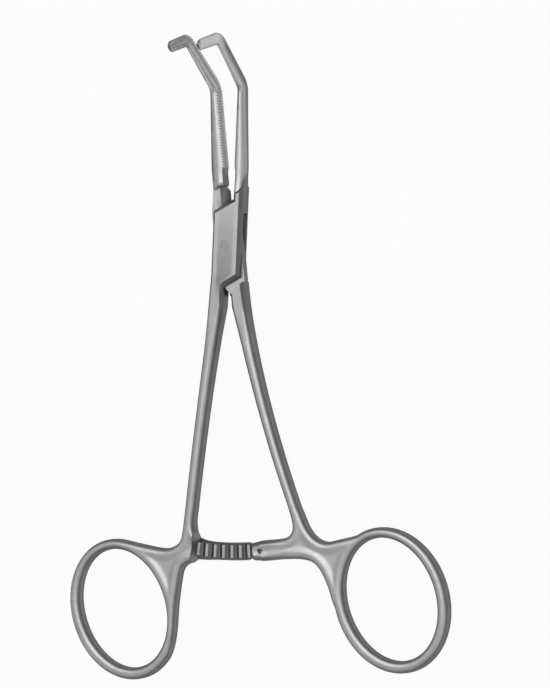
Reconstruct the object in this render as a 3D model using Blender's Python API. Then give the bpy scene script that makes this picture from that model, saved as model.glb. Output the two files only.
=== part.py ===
"""Vascular clamp with angled jaws, a box lock, a ratchet and two finger rings.

The clamp lies on its back. X runs across it, Y runs towards the jaws and Z runs up
through it, so the jaws' tips stand up from the surface. The origin is on the pivot's
axis, at the back face of the box. The female half holds the box and the slot, and the
male half passes through the slot. Both halves are drawn as they stand with the jaws
closed, and the male half is then turned open about the pivot.
"""
import math

import bmesh
import bpy
from mathutils import Matrix, Vector

MM = 0.001

# Box lock
BOX_DEPTH = 4.6 * MM
BOX_OUTER = 3.4 * MM            # from the pivot to the side above the box half's own shank
BOX_INNER = 3.42 * MM           # from the pivot to the other side
PLATE_END = 9.4 * MM            # from the pivot to a slanted end, measured along the box's middle
PLATE_SLANT = math.radians(29)
JAW_SEAT = 10.9 * MM            # height of the jaw's seat at the gap between the jaws
JAW_SEAT_SLANT = math.radians(33)
TONGUE_THICKNESS = 1.7 * MM
TONGUE_HALF_WIDTH = 3.2 * MM
TONGUE_INSIDE_JAW = (-2.4 * MM, 0.2 * MM)  # both sides of the tongue where the jaw takes it up
TONGUE_CLEARANCE = 0.06 * MM    # between the tongue and each wall of the slot
FLANK_CLEARANCE = 0.15 * MM     # between the tongue's flank and the solid end of the slot
FLANK_LOW = 7.2 * MM            # where a flank leaves the side of the box
FLANK_HIGH = 11.2 * MM          # where the lower flank meets the middle of the clamp
TONGUE_TIP = (1.25 * MM, 11.5 * MM)  # where the upper flank meets the male jaw's foot
SHOULDER_HEIGHT = 12.3 * MM     # the male jaw's full depth starts here
SHOULDER_SLANT = math.radians(17)
HEEL_HEIGHT = 10.55 * MM        # the male shank's full depth starts this far below the pivot
HEEL_SLANT = math.radians(35)
HEEL_EASE = 0.25 * MM           # the male shank's top corner stands back from the parting line
SHANK_CLEARANCE = 0.06 * MM     # between the closed shanks, on each side of their parting line
PARTING = 0.35 * MM             # the shanks part this far to the box half's side of the pivot
BLANK_SPARE = 3.0 * MM          # the box's blank runs on this far before its top is cut
TONGUE_ROOT = 2.0 * MM          # the tongue runs up this far inside the male jaw

# Pivot pin
PIN_RADIUS = 1.0 * MM
PIN_RECESS = 0.02 * MM          # at the front; the back end is ground flush
PIN_FIT = 0.03 * MM             # radial gap in the plates
PIN_RUNNING = 0.06 * MM         # radial gap in the tongue
ROUND_SEGMENTS = 32

# Jaws: a straight stretch, a bend, a short straight, a second bend and a straight tip
FACE_OFFSET = 0.92 * MM         # the closed faces meet this far to the male shank's side
FACE_GAP = 0.1 * MM
JAW_FOOT = 9.6 * MM             # the box half's jaw starts inside the box
FIRST_BEND_START = 33.1 * MM
FIRST_BEND_RADIUS = 3.2 * MM
FIRST_BEND_ANGLE = math.radians(51.5)
MIDDLE_STRAIGHT = 11.8 * MM
SECOND_BEND_RADIUS = 3.2 * MM
SECOND_BEND_ANGLE = math.radians(54)
TIP_STRAIGHT = 7.8 * MM
FACE_WIDTH = 3.15 * MM
TIP_WIDTH = 2.4 * MM
FOOT_WIDTH = 3.9 * MM
FOOT_FLARE_TOP = 15.0 * MM      # below this height the face widens towards the box
BACK_SHARE = 0.52               # width of the jaw's rounded back as a share of its face
BOX_JAW_THICKNESS = (2.6 * MM, 1.6 * MM, 1.0 * MM)   # at the teeth's start, first bend and tip
MALE_JAW_THICKNESS = (3.5 * MM, 2.1 * MM, 1.0 * MM)
BOX_JAW_RELIEF = 0.27 * MM      # the face below the teeth stands back this far
MALE_JAW_RELIEF = 0.45 * MM
TEETH_START = 17.2 * MM
GROOVE_RUN_OUT = 1.4 * MM
TOOTH_PITCH = 0.6 * MM
TOOTH_DEPTH = 0.2 * MM
GROOVE_DEPTH = 0.45 * MM
RIDGE_HEIGHT = 0.2 * MM
FACE_EDGE = 0.2 * MM            # small bevel along both edges of a face

# Shanks, drawn outwards from the clamp's middle line
SHANK_TOP = 13.3 * MM           # this far below the pivot
SHANK_WIDTH_TOP = 3.5 * MM
SHANK_WIDTH_LOW = 2.75 * MM
SHANK_TAPER_LENGTH = 12.0 * MM
SHANK_FOOT_RISE = 9.325 * MM     # the shanks end this far above the middle of the ratchet
EDGE_ROUND = 1.0 * MM
RING_DEPTH = 3.2 * MM
DEPTH_TAPER_LENGTH = 14.0 * MM

# Ratchet
RATCHET_RADIUS = 66.325 * MM    # from the pivot to the middle of the box half's arm
RATCHET_GAP = 0.1 * MM          # between the two rows of teeth
RATCHET_PITCH = 2.05 * MM
RATCHET_TOOTH = 0.45 * MM
RATCHET_CUT_ABOVE = 1.6 * MM    # the teeth's cut runs on past both edges of the arm
RATCHET_CUT_BELOW = 3.2 * MM
BOX_ARM_REACH = 8.3 * MM        # past the middle line
BOX_ARM_WIDTH = 4.25 * MM
BOX_ARM_WALL = 0.754 * MM       # the cut starts this far inside the middle of the shank's foot
BOX_ARM_TEETH = 7
MALE_ARM_REACH = 1.4 * MM
MALE_ARM_WIDTH = 4.0 * MM
MALE_ARM_DROP = 0.175 * MM      # its middle lies this far below that of the other arm
MALE_ARM_WALL = 0.49 * MM
MALE_ARM_TEETH = 3
DIMPLE_RADIUS = 0.5 * MM
DIMPLE_INSET = 2.6 * MM         # from the male arm's tip
DIMPLE_DEPTH = 0.25 * MM

# Finger rings
RING_HOLE = (10.3 * MM, 13.4 * MM)
RING_BAR = 2.8 * MM
RING_LENGTHWISE_BAR = 2.4 * MM
HOLE_RISE = 0.2 * MM             # the hole stands above the middle of its ring
RING_SEGMENTS = 60

# Motion
REST_OPENING = math.radians(8.5)

STEEL = (0.60, 0.60, 0.60, 1.0)

COLLECTION = "vascular_clamp"
CUTTER_COLLECTION = "vascular_clamp_cutters"


class Half:
    """The outline sizes that differ between the two halves, measured outwards.

    The ring and the shoulder are placed from the middle of the shank's foot, at the height
    of the arm's middle, the web's side from the arm's lower edge below it, and the armpit
    from the upper edge.
    """

    def __init__(self, side, shank_start, shank_slope, shank_bow, arm_reach, arm_middle,
                 arm_width, ring_centre, ring_lean, ring_turns, shoulder, web_side, armpit):
        self.side = side
        self.shank_start = shank_start
        self.shank_slope = shank_slope
        self.shank_bow = shank_bow
        self.arm_reach = arm_reach
        self.arm_inner = arm_middle - 0.5 * arm_width
        self.arm_outer = arm_middle + 0.5 * arm_width
        self.shank_foot = RATCHET_RADIUS - SHANK_FOOT_RISE
        self.foot_middle = self.shank_middle(-self.shank_foot)
        self.ring_centre = self.below_foot([ring_centre], RATCHET_RADIUS)[0]
        self.ring_lean = ring_lean
        self.ring_turns = ring_turns
        self.shoulder = self.below_foot(shoulder, RATCHET_RADIUS)
        self.web_side = self.below_foot(web_side, self.arm_outer)
        self.armpit = self.below_foot(armpit, self.arm_inner)

    def below_foot(self, places, level):
        """Places from the shank's foot outwards and from a level below the pivot upwards."""
        return [Vector((self.foot_middle, -level)) + Vector(place) * MM for place in places]

    def shank_middle(self, y):
        """Distance of the shank's middle from the clamp's middle line at height y."""
        run = -SHANK_TOP - y
        return self.shank_start + self.shank_slope * run + self.shank_bow * run * run

    def shank_half_width(self, y):
        run = max(0.0, -SHANK_TOP - y)
        share = math.exp(-run / SHANK_TAPER_LENGTH)
        return 0.5 * (SHANK_WIDTH_LOW + (SHANK_WIDTH_TOP - SHANK_WIDTH_LOW) * share)

    def shank_edge(self, y, outward):
        """Point on the shank's outer (+1) or inner (-1) edge at height y."""
        return Vector((self.shank_middle(y) + outward * self.shank_half_width(y), y))


# The shoulder joins a shank to its ring, the web's side joins the ring to its ratchet arm,
# and the armpit joins the arm back to the shank.
BOX_HALF = Half(side=-1, shank_start=2.15 * MM, shank_slope=0.127, shank_bow=-0.6,
                arm_reach=BOX_ARM_REACH, arm_middle=RATCHET_RADIUS, arm_width=BOX_ARM_WIDTH,
                ring_centre=(15.7, -14.18), ring_lean=math.radians(-26.6),
                ring_turns=(math.radians(-24), math.radians(253)),
                shoulder=((1.85, 4.03), (2.4, 1.62), (4.15, 0.23), (6.75, -0.17), (12.15, 0.42)),
                web_side=((2.2, -9.05), (2, -5.55), (1.55, -2.75), (0.55, -1.35), (-1.35, -0.7),
                          (-3.95, -0.4)),
                armpit=((-4.75, 0.1), (-3.55, 0.3), (-2.25, 0.9), (-1.45, 2.1), (-1.15, 4.2)))
MALE_HALF = Half(side=1, shank_start=1.6 * MM, shank_slope=0.100, shank_bow=2.0,
                 arm_reach=MALE_ARM_REACH, arm_middle=RATCHET_RADIUS + MALE_ARM_DROP,
                 arm_width=MALE_ARM_WIDTH, ring_centre=(21.01, -13.12),
                 ring_lean=math.radians(17.4), ring_turns=(math.radians(-8), math.radians(281)),
                 shoulder=((2.31, 6.53), (3.31, 3.83), (4.91, 1.62), (7.21, 0.47), (10.21, 0.68)),
                 web_side=((7.21, -9.9), (6.51, -6.9), (5.31, -3.8), (3.61, -1.6), (0.81, -0.6),
                           (-3.29, -0.25)),
                 armpit=((-3.59, 0.2), (-1.79, 0.55), (-0.74, 1.6), (-0.54, 3.2), (-0.79, 4.9)))


def smooth_through(points, steps):
    """Curve through every point but the first and last, which only steer its ends."""
    curve = []
    for before, start, end, after in zip(points, points[1:], points[2:], points[3:]):
        leave = 0.5 * (end - before)
        arrive = 0.5 * (after - start)
        for step in range(steps):
            t = step / steps
            curve.append(start * (2 * t ** 3 - 3 * t ** 2 + 1) + leave * (t ** 3 - 2 * t ** 2 + t)
                         + end * (3 * t ** 2 - 2 * t ** 3) + arrive * (t ** 3 - t ** 2))
    return curve


def ellipse_point(centre, radii, lean, turn):
    """Point of a leaning ellipse; turn is 0 at its top end and grows outwards."""
    along = Vector((-math.sin(lean), math.cos(lean)))
    across = Vector((math.cos(lean), math.sin(lean)))
    return centre + along * (radii[1] * math.cos(turn)) + across * (radii[0] * math.sin(turn))


def arc_point(radius, x):
    """Point at distance radius below the pivot, at the given place across."""
    return Vector((x, -math.sqrt(radius * radius - x * x)))


def even_steps(first, last, count):
    return [first + (last - first) * i / (count - 1) for i in range(count)]


def ring_outline(half):
    """Outer edge of the ring from the shoulder round to the web's side."""
    radii = (RING_HOLE[0] + RING_BAR, RING_HOLE[1] + RING_LENGTHWISE_BAR)
    first, last = half.ring_turns
    return [ellipse_point(half.ring_centre, radii, half.ring_lean, turn)
            for turn in even_steps(first, last, int(RING_SEGMENTS * 0.8))]


def ring_hole(half):
    centre = half.ring_centre + Vector((0.0, HOLE_RISE))
    return [ellipse_point(centre, RING_HOLE, half.ring_lean, -turn)
            for turn in even_steps(0.0, math.tau, RING_SEGMENTS + 1)[:-1]]


def arm_outline(half):
    """Lower edge, rounded tip and upper edge of a ratchet arm, from the middle line out."""
    reach, inner, outer = half.arm_reach, half.arm_inner, half.arm_outer
    tip_radius = 0.5 * (outer - inner)
    tip_middle = 0.5 * (outer + inner)
    straight_end = tip_radius - reach
    span = even_steps(0.0, straight_end, 5) if straight_end < 0.0 else [straight_end]
    points = [arc_point(outer, x) for x in span]
    for turn in even_steps(0.0, math.pi, 9)[1:-1]:
        x = straight_end - tip_radius * math.sin(turn)
        points.append(arc_point(tip_middle + tip_radius * math.cos(turn), x))
    points += [arc_point(inner, x) for x in reversed(span)]
    return points


def handle_outline(half):
    """Outline below the box: outer edge, ring, ratchet arm and inner edge."""
    outer_edge = [half.shank_edge(y, 1) for y in even_steps(-SHANK_TOP, -half.shank_foot, 12)]
    inner_edge = [half.shank_edge(y, -1) for y in even_steps(-half.shank_foot, -SHANK_TOP, 12)]
    ring = ring_outline(half)
    arm = arm_outline(half)
    points = outer_edge[:-1]
    points += smooth_through(outer_edge[-2:] + half.shoulder + ring[:2], 3)
    points += ring[:-1]
    points += smooth_through(ring[-2:] + half.web_side + arm[:2], 3)
    points += arm[:-1]
    points += smooth_through(arm[-2:] + half.armpit + inner_edge[:2], 3)
    points += inner_edge
    return points


def box_half_outline():
    """Closed outline of the box half's blank, drawn outwards."""
    top = SHOULDER_HEIGHT + BLANK_SPARE
    points = [Vector((BOX_OUTER, top)), Vector((BOX_OUTER, -0.5 * SHANK_TOP))]
    points += handle_outline(BOX_HALF)
    points += [Vector((-BOX_INNER, -SHANK_TOP)), Vector((-BOX_INNER, top))]
    return points


def male_half_outline():
    """Closed outline of the male half's blank, tongue included, drawn outwards."""
    edge = PARTING - SHANK_CLEARANCE
    tongue_top = SHOULDER_HEIGHT + TONGUE_ROOT
    points = [Vector((TONGUE_INSIDE_JAW[1], tongue_top)),
              Vector((TONGUE_INSIDE_JAW[1], SHOULDER_HEIGHT)),
              Vector(TONGUE_TIP), Vector((TONGUE_HALF_WIDTH, FLANK_LOW)),
              Vector((TONGUE_HALF_WIDTH, -0.75 * SHANK_TOP))]
    points += handle_outline(MALE_HALF)
    points += [Vector((HEEL_EASE - edge, -FLANK_HIGH)), Vector((-TONGUE_HALF_WIDTH, -FLANK_LOW)),
               Vector((-TONGUE_HALF_WIDTH, FLANK_LOW)),
               Vector((TONGUE_INSIDE_JAW[0], SHOULDER_HEIGHT)),
               Vector((TONGUE_INSIDE_JAW[0], tongue_top))]
    return points


def depth_at(y):
    """Depth of the forging at height y: full at the box, less towards the rings."""
    run = max(0.0, -0.55 * SHANK_TOP - y)
    return RING_DEPTH + (BOX_DEPTH - RING_DEPTH) * math.exp(-run / DEPTH_TAPER_LENGTH)


def new_collection(name):
    collection = bpy.data.collections.get(name) or bpy.data.collections.new(name)
    if name not in bpy.context.scene.collection.children:
        bpy.context.scene.collection.children.link(collection)
    return collection


def add_object(name, mesh, collection):
    item = bpy.data.objects.new(name, mesh)
    bpy.data.collections[collection].objects.link(item)
    return item


def mesh_from(bm, name):
    bmesh.ops.recalc_face_normals(bm, faces=bm.faces)
    mesh = bpy.data.meshes.new(name)
    bm.to_mesh(mesh)
    bm.free()
    return mesh


def forged_blank(name, outline, hole, side):
    """Plate with rounded edges from an outline and its hole, thinned towards the rings."""
    curve = bpy.data.curves.new(name + "_outline", "CURVE")
    curve.dimensions = "2D"
    curve.fill_mode = "BOTH"
    curve.extrude = 0.5 * BOX_DEPTH - EDGE_ROUND
    curve.bevel_depth = EDGE_ROUND
    curve.bevel_resolution = 2
    curve.offset = -EDGE_ROUND
    for loop in (outline, hole):
        spline = curve.splines.new("POLY")
        spline.points.add(len(loop) - 1)
        ordered = loop if side > 0 else loop[::-1]
        for point, place in zip(spline.points, ordered):
            point.co = (side * place.x, place.y, 0.0, 1.0)
        spline.use_cyclic_u = True
    holder = add_object(name + "_outline", curve, CUTTER_COLLECTION)
    graph = bpy.context.evaluated_depsgraph_get()
    mesh = bpy.data.meshes.new_from_object(holder.evaluated_get(graph))
    bpy.data.objects.remove(holder)
    bm = bmesh.new()
    bm.from_mesh(mesh)
    bmesh.ops.remove_doubles(bm, verts=bm.verts, dist=0.001 * MM)
    for vert in bm.verts:
        vert.co.z = 0.5 * BOX_DEPTH + vert.co.z * depth_at(vert.co.y) / BOX_DEPTH
    return add_object(name, mesh_from(bm, name), COLLECTION)


def prism(name, corners, bottom, top):
    """Cutter with the given corners, from bottom to top."""
    bm = bmesh.new()
    face = bm.faces.new([bm.verts.new((x, y, bottom)) for x, y in corners])
    grown = bmesh.ops.extrude_face_region(bm, geom=[face])
    raised = [item for item in grown["geom"] if isinstance(item, bmesh.types.BMVert)]
    bmesh.ops.translate(bm, verts=raised, vec=(0.0, 0.0, top - bottom))
    return cutter(name, mesh_from(bm, name))


def cylinder(name, radius, bottom, top, collection):
    bm = bmesh.new()
    bmesh.ops.create_cone(bm, cap_ends=True, segments=ROUND_SEGMENTS, radius1=radius,
                          radius2=radius, depth=top - bottom,
                          matrix=Matrix.Translation((0.0, 0.0, 0.5 * (top + bottom))))
    return add_object(name, mesh_from(bm, name), collection)


def cutter(name, mesh):
    item = add_object(name, mesh, CUTTER_COLLECTION)
    item.hide_render = True
    item.display_type = "WIRE"
    return item


def ratchet_cutter(name, half, corners):
    """Flat-ended sector about the pivot; corners hold a place along the arm and a height."""
    inner = half.arm_inner - RATCHET_CUT_ABOVE
    outer = half.arm_outer + RATCHET_CUT_BELOW
    bm = bmesh.new()
    ring = []
    for place, height in corners:
        turn = place / RATCHET_RADIUS
        ring.append(bm.verts.new((inner * math.tan(turn), -inner, height)))
    grown = bmesh.ops.extrude_face_region(bm, geom=[bm.faces.new(ring)])
    moved = [item for item in grown["geom"] if isinstance(item, bmesh.types.BMVert)]
    for vert in moved:
        vert.co.x *= outer / inner
        vert.co.y *= outer / inner
    return cutter(name, mesh_from(bm, name))


def tooth_profile(first, count, face, facing, end):
    """Saw teeth along an arm: heights step from the face down into each tooth's root."""
    corners = []
    for tooth in range(count):
        place = first + tooth * RATCHET_PITCH
        corners.append((place, face))
        corners.append((place + 0.35 * RATCHET_PITCH, face - facing * RATCHET_TOOTH))
        corners.append((place + 0.62 * RATCHET_PITCH, face))
    corners.append((end, face))
    return corners


def cut(item, tool, operation="DIFFERENCE"):
    """Cut the item with a tool, or join them; the tool then turns with the item."""
    tool.parent = item
    modifier = item.modifiers.new(tool.name, "BOOLEAN")
    modifier.operation = operation
    modifier.solver = "EXACT"
    modifier.object = tool


def jaw_length():
    return (FIRST_BEND_START + FIRST_BEND_RADIUS * FIRST_BEND_ANGLE + MIDDLE_STRAIGHT
            + SECOND_BEND_RADIUS * SECOND_BEND_ANGLE + TIP_STRAIGHT)


def jaw_place(run):
    """Centre of the jaw at the given run from the pivot, and its way, as (y, z) pairs."""
    y, z, way = 0.0, 0.5 * BOX_DEPTH, 0.0
    stretches = ((FIRST_BEND_START, None), (FIRST_BEND_RADIUS * FIRST_BEND_ANGLE, FIRST_BEND_RADIUS),
                 (MIDDLE_STRAIGHT, None),
                 (SECOND_BEND_RADIUS * SECOND_BEND_ANGLE, SECOND_BEND_RADIUS), (TIP_STRAIGHT, None))
    left = run
    for length, radius in stretches:
        step = min(left, length)
        if radius is None:
            y += step * math.cos(way)
            z += step * math.sin(way)
        else:
            turned = way + step / radius
            y += radius * (math.sin(turned) - math.sin(way))
            z += radius * (math.cos(way) - math.cos(turned))
            way = turned
        left -= step
    return y, z, way


def face_half_width(run):
    flare = max(0.0, FOOT_FLARE_TOP - run) / (FOOT_FLARE_TOP - JAW_FOOT)
    taper = max(0.0, run - FIRST_BEND_START) / (jaw_length() - FIRST_BEND_START)
    to_tip = jaw_length() - run
    half = 0.5 * (FACE_WIDTH + (FOOT_WIDTH - FACE_WIDTH) * flare
                  + (TIP_WIDTH - FACE_WIDTH) * taper)
    if to_tip < half:
        half *= math.sqrt(max(0.04, 1.0 - (1.0 - to_tip / half) ** 2))
    return half


def jaw_stations(foot):
    """Runs along the jaw and how deep the face is cut there, 0 at a crest and 1 in a root."""
    stations = [(run, 0.0) for run in even_steps(foot, TEETH_START - GROOVE_RUN_OUT, 4)]
    count = int((jaw_length() - 0.35 * FACE_WIDTH - TEETH_START) / TOOTH_PITCH)
    for tooth in range(count):
        run = TEETH_START + tooth * TOOTH_PITCH
        stations.append((run, 1.0))
        stations.append((run + 0.5 * TOOTH_PITCH, 0.0))
    last = stations[-1][0]
    for share in (0.45, 0.75, 0.92, 1.0):
        stations.append((last + (jaw_length() - last) * share, 0.3))
    return stations


def male_face(share):
    """Two toothed rows beside a groove: places across, depth and how far teeth reach."""
    return ((1.0, FACE_EDGE, 0.0), (0.88, 0.0, 1.0), (0.3, 0.0, 1.0), (0.0, GROOVE_DEPTH * share, 0.0),
            (-0.3, 0.0, 1.0), (-0.88, 0.0, 1.0), (-1.0, FACE_EDGE, 0.0))


def female_face(share):
    """A toothed ridge that enters the groove, with a plain land on each side."""
    ridge = -RIDGE_HEIGHT * share
    return ((1.0, FACE_EDGE, 0.0), (0.88, 0.0, 0.0), (0.25, 0.0, 0.0), (0.16, ridge, 1.0),
            (-0.16, ridge, 1.0), (-0.25, 0.0, 0.0), (-0.88, 0.0, 0.0), (-1.0, FACE_EDGE, 0.0))


def straight_line(first_run, first, last_run, last):
    """Function that goes straight from one value to another and stays level outside them."""
    def value(run):
        share = min(1.0, max(0.0, (run - first_run) / (last_run - first_run)))
        return first + (last - first) * share
    return value


def jaw(name, side, foot, foot_slant, thicknesses, foot_relief, face):
    """Jaw lofted through its stations, with its thickness at the teeth's start, bend and tip."""
    relief = straight_line(TEETH_START - GROOVE_RUN_OUT, foot_relief, TEETH_START, 0.0)
    straight = straight_line(TEETH_START, thicknesses[0], FIRST_BEND_START, thicknesses[1])
    bent = straight_line(FIRST_BEND_START, 1.0, jaw_length(), thicknesses[2] / thicknesses[1])
    bm = bmesh.new()
    rings = []
    for run, tooth in jaw_stations(foot):
        y, z, way = jaw_place(run)
        half = face_half_width(run)
        back = straight(run) * bent(run)
        share = min(1.0, max(0.0, (run - TEETH_START + GROOVE_RUN_OUT) / GROOVE_RUN_OUT))
        corners = [(half * across, depth + relief(run) + tooth * reach * TOOTH_DEPTH)
                   for across, depth, reach in face(share)]
        shoulder = half * (0.5 + 0.5 * BACK_SHARE)
        ridge = half * BACK_SHARE
        corners += [(-half, 0.3 * back), (-shoulder, 0.78 * back), (-0.7 * ridge, back),
                    (0.7 * ridge, back), (shoulder, 0.78 * back), (half, 0.3 * back)]
        slope = foot_slant * max(0.0, 1.0 - (run - foot) / (TEETH_START - foot))
        ring = []
        for across, depth in corners:
            x = FACE_OFFSET + side * (0.5 * FACE_GAP + depth)
            ring.append(bm.verts.new((x, y - across * math.sin(way) + x * slope,
                                      z + across * math.cos(way))))
        rings.append(ring)
    for lower, upper in zip(rings, rings[1:]):
        for i, corner in enumerate(lower):
            after = (i + 1) % len(lower)
            bm.faces.new((corner, lower[after], upper[after], upper[i]))
    bm.faces.new(rings[0])
    bm.faces.new(rings[-1])
    return cutter(name, mesh_from(bm, name))


def build_box_half():
    hole = ring_hole(BOX_HALF)
    blank = forged_blank("box_half", box_half_outline(), hole, BOX_HALF.side)
    reach = 4.0 * BOX_OUTER
    below, above = -BOX_DEPTH, 2.0 * BOX_DEPTH
    jaw_side = FACE_OFFSET + 0.5 * FACE_GAP + 0.25 * MM
    slant = math.tan(PLATE_SLANT)
    end_offset = PLATE_END - slant * jaw_side
    seat = math.tan(JAW_SEAT_SLANT)
    over = prism("over_jaw_seat", (
        (-reach, end_offset - slant * reach), (jaw_side, end_offset + slant * jaw_side),
        (jaw_side, JAW_SEAT), (reach, JAW_SEAT + seat * (reach - jaw_side)),
        (reach, 5.0 * JAW_SEAT), (-reach, 5.0 * JAW_SEAT)), below, above)
    shank_side = -(PARTING + SHANK_CLEARANCE)
    low = prism("under_plates", (
        (shank_side, -end_offset + slant * shank_side), (shank_side, -SHANK_TOP - 1.2 * MM),
        (reach, -SHANK_TOP - 1.2 * MM), (reach, -end_offset + slant * reach)), below, above)
    cut(blank, over)
    cut(blank, low)
    cut(blank, jaw("box_half_jaw", 1, JAW_FOOT, 0.0,
                   BOX_JAW_THICKNESS, BOX_JAW_RELIEF, female_face), "UNION")
    cut(blank, slot_cutter())
    cut(blank, cutter_cylinder("plate_bore", PIN_RADIUS + PIN_FIT))
    face = 0.5 * BOX_DEPTH - 0.5 * RATCHET_GAP
    wall = BOX_ARM_WALL - BOX_HALF.foot_middle
    first = wall + 0.35 * RATCHET_PITCH
    corners = [(wall, above), (wall, face)]
    corners += tooth_profile(first, BOX_ARM_TEETH, face, 1, 2.0 * BOX_ARM_REACH)
    corners += [(2.0 * BOX_ARM_REACH, above)]
    cut(blank, ratchet_cutter("box_half_teeth", BOX_HALF, corners))
    return blank


def slot_cutter():
    """Slot through the box, open on both sides, with slanted ends clear of the tongue."""
    half = 0.5 * TONGUE_THICKNESS + TONGUE_CLEARANCE
    middle = 0.5 * BOX_DEPTH
    parting = PARTING - SHANK_CLEARANCE
    top_slope = (TONGUE_TIP[1] - FLANK_LOW) / (TONGUE_HALF_WIDTH - TONGUE_TIP[0])
    bottom_slope = (FLANK_HIGH - FLANK_LOW) / (TONGUE_HALF_WIDTH - parting)
    reach = 3.0 * BOX_OUTER
    top_lift = FLANK_CLEARANCE * math.hypot(1.0, top_slope)
    bottom_lift = FLANK_CLEARANCE * math.hypot(1.0, bottom_slope)

    def top_line(x):
        return FLANK_LOW + top_slope * (TONGUE_HALF_WIDTH - x) + top_lift

    def bottom_line(x):
        return -FLANK_LOW - bottom_slope * (TONGUE_HALF_WIDTH + x) - bottom_lift

    return prism("slot", (
        (-reach, bottom_line(-reach)), (0.0, bottom_line(0.0)), (reach, bottom_line(0.0)),
        (reach, top_line(reach)), (0.0, top_line(0.0)), (-reach, top_line(0.0))),
        middle - half, middle + half)


def cutter_cylinder(name, radius):
    item = cylinder(name, radius, -BOX_DEPTH, 2.0 * BOX_DEPTH, CUTTER_COLLECTION)
    item.hide_render = True
    item.display_type = "WIRE"
    return item


def build_male_half():
    blank = forged_blank("male_half", male_half_outline(), ring_hole(MALE_HALF), MALE_HALF.side)
    reach = 4.0 * BOX_OUTER
    middle = 0.5 * BOX_DEPTH
    half = 0.5 * TONGUE_THICKNESS
    heel = math.tan(HEEL_SLANT)
    corners = ((-reach, -HEEL_HEIGHT - heel * reach), (reach, -HEEL_HEIGHT + heel * reach),
               (reach, 3.0 * SHOULDER_HEIGHT), (-reach, 3.0 * SHOULDER_HEIGHT))
    cut(blank, prism("front_of_tongue", corners, middle + half, 2.0 * BOX_DEPTH))
    cut(blank, prism("back_of_tongue", corners, -BOX_DEPTH, middle - half))
    cut(blank, jaw("male_half_jaw", -1, SHOULDER_HEIGHT, math.tan(SHOULDER_SLANT),
                   MALE_JAW_THICKNESS, MALE_JAW_RELIEF, male_face), "UNION")
    cut(blank, cutter_cylinder("tongue_bore", PIN_RADIUS + PIN_RUNNING))
    face = middle + 0.5 * RATCHET_GAP
    first = -MALE_ARM_REACH + 0.8 * MM
    wall = MALE_HALF.foot_middle - MALE_ARM_WALL
    teeth = tooth_profile(first, MALE_ARM_TEETH, face, -1, wall)
    corners = [(-4.0 * MALE_ARM_REACH, -BOX_DEPTH), (-4.0 * MALE_ARM_REACH, face)] + teeth
    corners += [(wall, -BOX_DEPTH)]
    cut(blank, ratchet_cutter("male_half_teeth", MALE_HALF, corners))
    cut(blank, dimple_cutter())
    blank.rotation_euler.z = REST_OPENING
    return blank


def dimple_cutter():
    """Short cylinder that sinks a dimple into the male arm near its tip."""
    place = arc_point(RATCHET_RADIUS + MALE_ARM_DROP, DIMPLE_INSET - MALE_ARM_REACH)
    surface = 0.5 * BOX_DEPTH + 0.5 * depth_at(place.y)
    bm = bmesh.new()
    bmesh.ops.create_cone(bm, cap_ends=True, segments=ROUND_SEGMENTS // 2,
                          radius1=0.5 * DIMPLE_RADIUS, radius2=1.5 * DIMPLE_RADIUS,
                          depth=2.0 * DIMPLE_DEPTH,
                          matrix=Matrix.Translation((place.x, place.y, surface)))
    return cutter("male_half_dimple", mesh_from(bm, "male_half_dimple"))


def build_pin():
    return cylinder("pivot_pin", PIN_RADIUS, 0.0, BOX_DEPTH - PIN_RECESS, COLLECTION)


def steel(name, roughness):
    material = bpy.data.materials.new(name)
    material.use_nodes = True
    shader = material.node_tree.nodes["Principled BSDF"]
    shader.inputs["Base Color"].default_value = STEEL
    shader.inputs["Metallic"].default_value = 1.0
    shader.inputs["Roughness"].default_value = roughness
    return material


def main():
    for item in list(bpy.data.objects):
        bpy.data.objects.remove(item)
    new_collection(COLLECTION)
    new_collection(CUTTER_COLLECTION)
    for item, roughness in ((build_box_half(), 0.34), (build_male_half(), 0.34), (build_pin(), 0.28)):
        item.data.materials.clear()
        item.data.materials.append(steel(item.name + "_steel", roughness))
        item.data.shade_smooth()
        item.data.set_sharp_from_angle(angle=math.radians(35))


main()
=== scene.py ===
"""Visual model of the vascular clamp with angled jaws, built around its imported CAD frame.

Each half is rebuilt finer than its solid: a forged blank with rounded edges, a lofted jaw, and
the cuts of the box lock. The sizes are the solid's, apart from a few that were fitted closer to
the photograph. Geometry Nodes lay the jaws' serrations and the ratchet's teeth along their
paths. Everything is drawn closed, and the male half's meshes are turned open about the pivot,
as the frame stands at rest.
"""
import logging
import math
from dataclasses import dataclass, field
from enum import Enum
from functools import partial
from typing import Callable, Sequence

import bmesh
import bpy
from mathutils import Matrix, Vector
from mathutils.bvhtree import BVHTree
from mathutils.geometry import delaunay_2d_cdt


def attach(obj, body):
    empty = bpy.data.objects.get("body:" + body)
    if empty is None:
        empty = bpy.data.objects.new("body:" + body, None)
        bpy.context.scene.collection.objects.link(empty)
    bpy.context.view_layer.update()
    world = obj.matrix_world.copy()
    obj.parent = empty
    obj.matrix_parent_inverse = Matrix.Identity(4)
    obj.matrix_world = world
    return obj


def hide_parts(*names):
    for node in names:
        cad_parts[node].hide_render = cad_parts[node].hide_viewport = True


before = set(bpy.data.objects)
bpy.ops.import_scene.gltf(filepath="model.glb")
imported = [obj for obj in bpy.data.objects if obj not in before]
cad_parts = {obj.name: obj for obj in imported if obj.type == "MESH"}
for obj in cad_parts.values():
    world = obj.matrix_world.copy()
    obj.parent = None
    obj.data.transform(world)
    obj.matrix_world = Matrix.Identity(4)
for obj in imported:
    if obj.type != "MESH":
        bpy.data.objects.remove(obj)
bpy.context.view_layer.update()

LOG = logging.getLogger("vascular_clamp")
MM = 0.001
REST_OPENING = math.radians(8.5)
TINY = 0.001 * MM

Point = tuple[float, float]
SocketValue = bpy.types.NodeSocket | float | tuple[float, ...]


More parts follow.
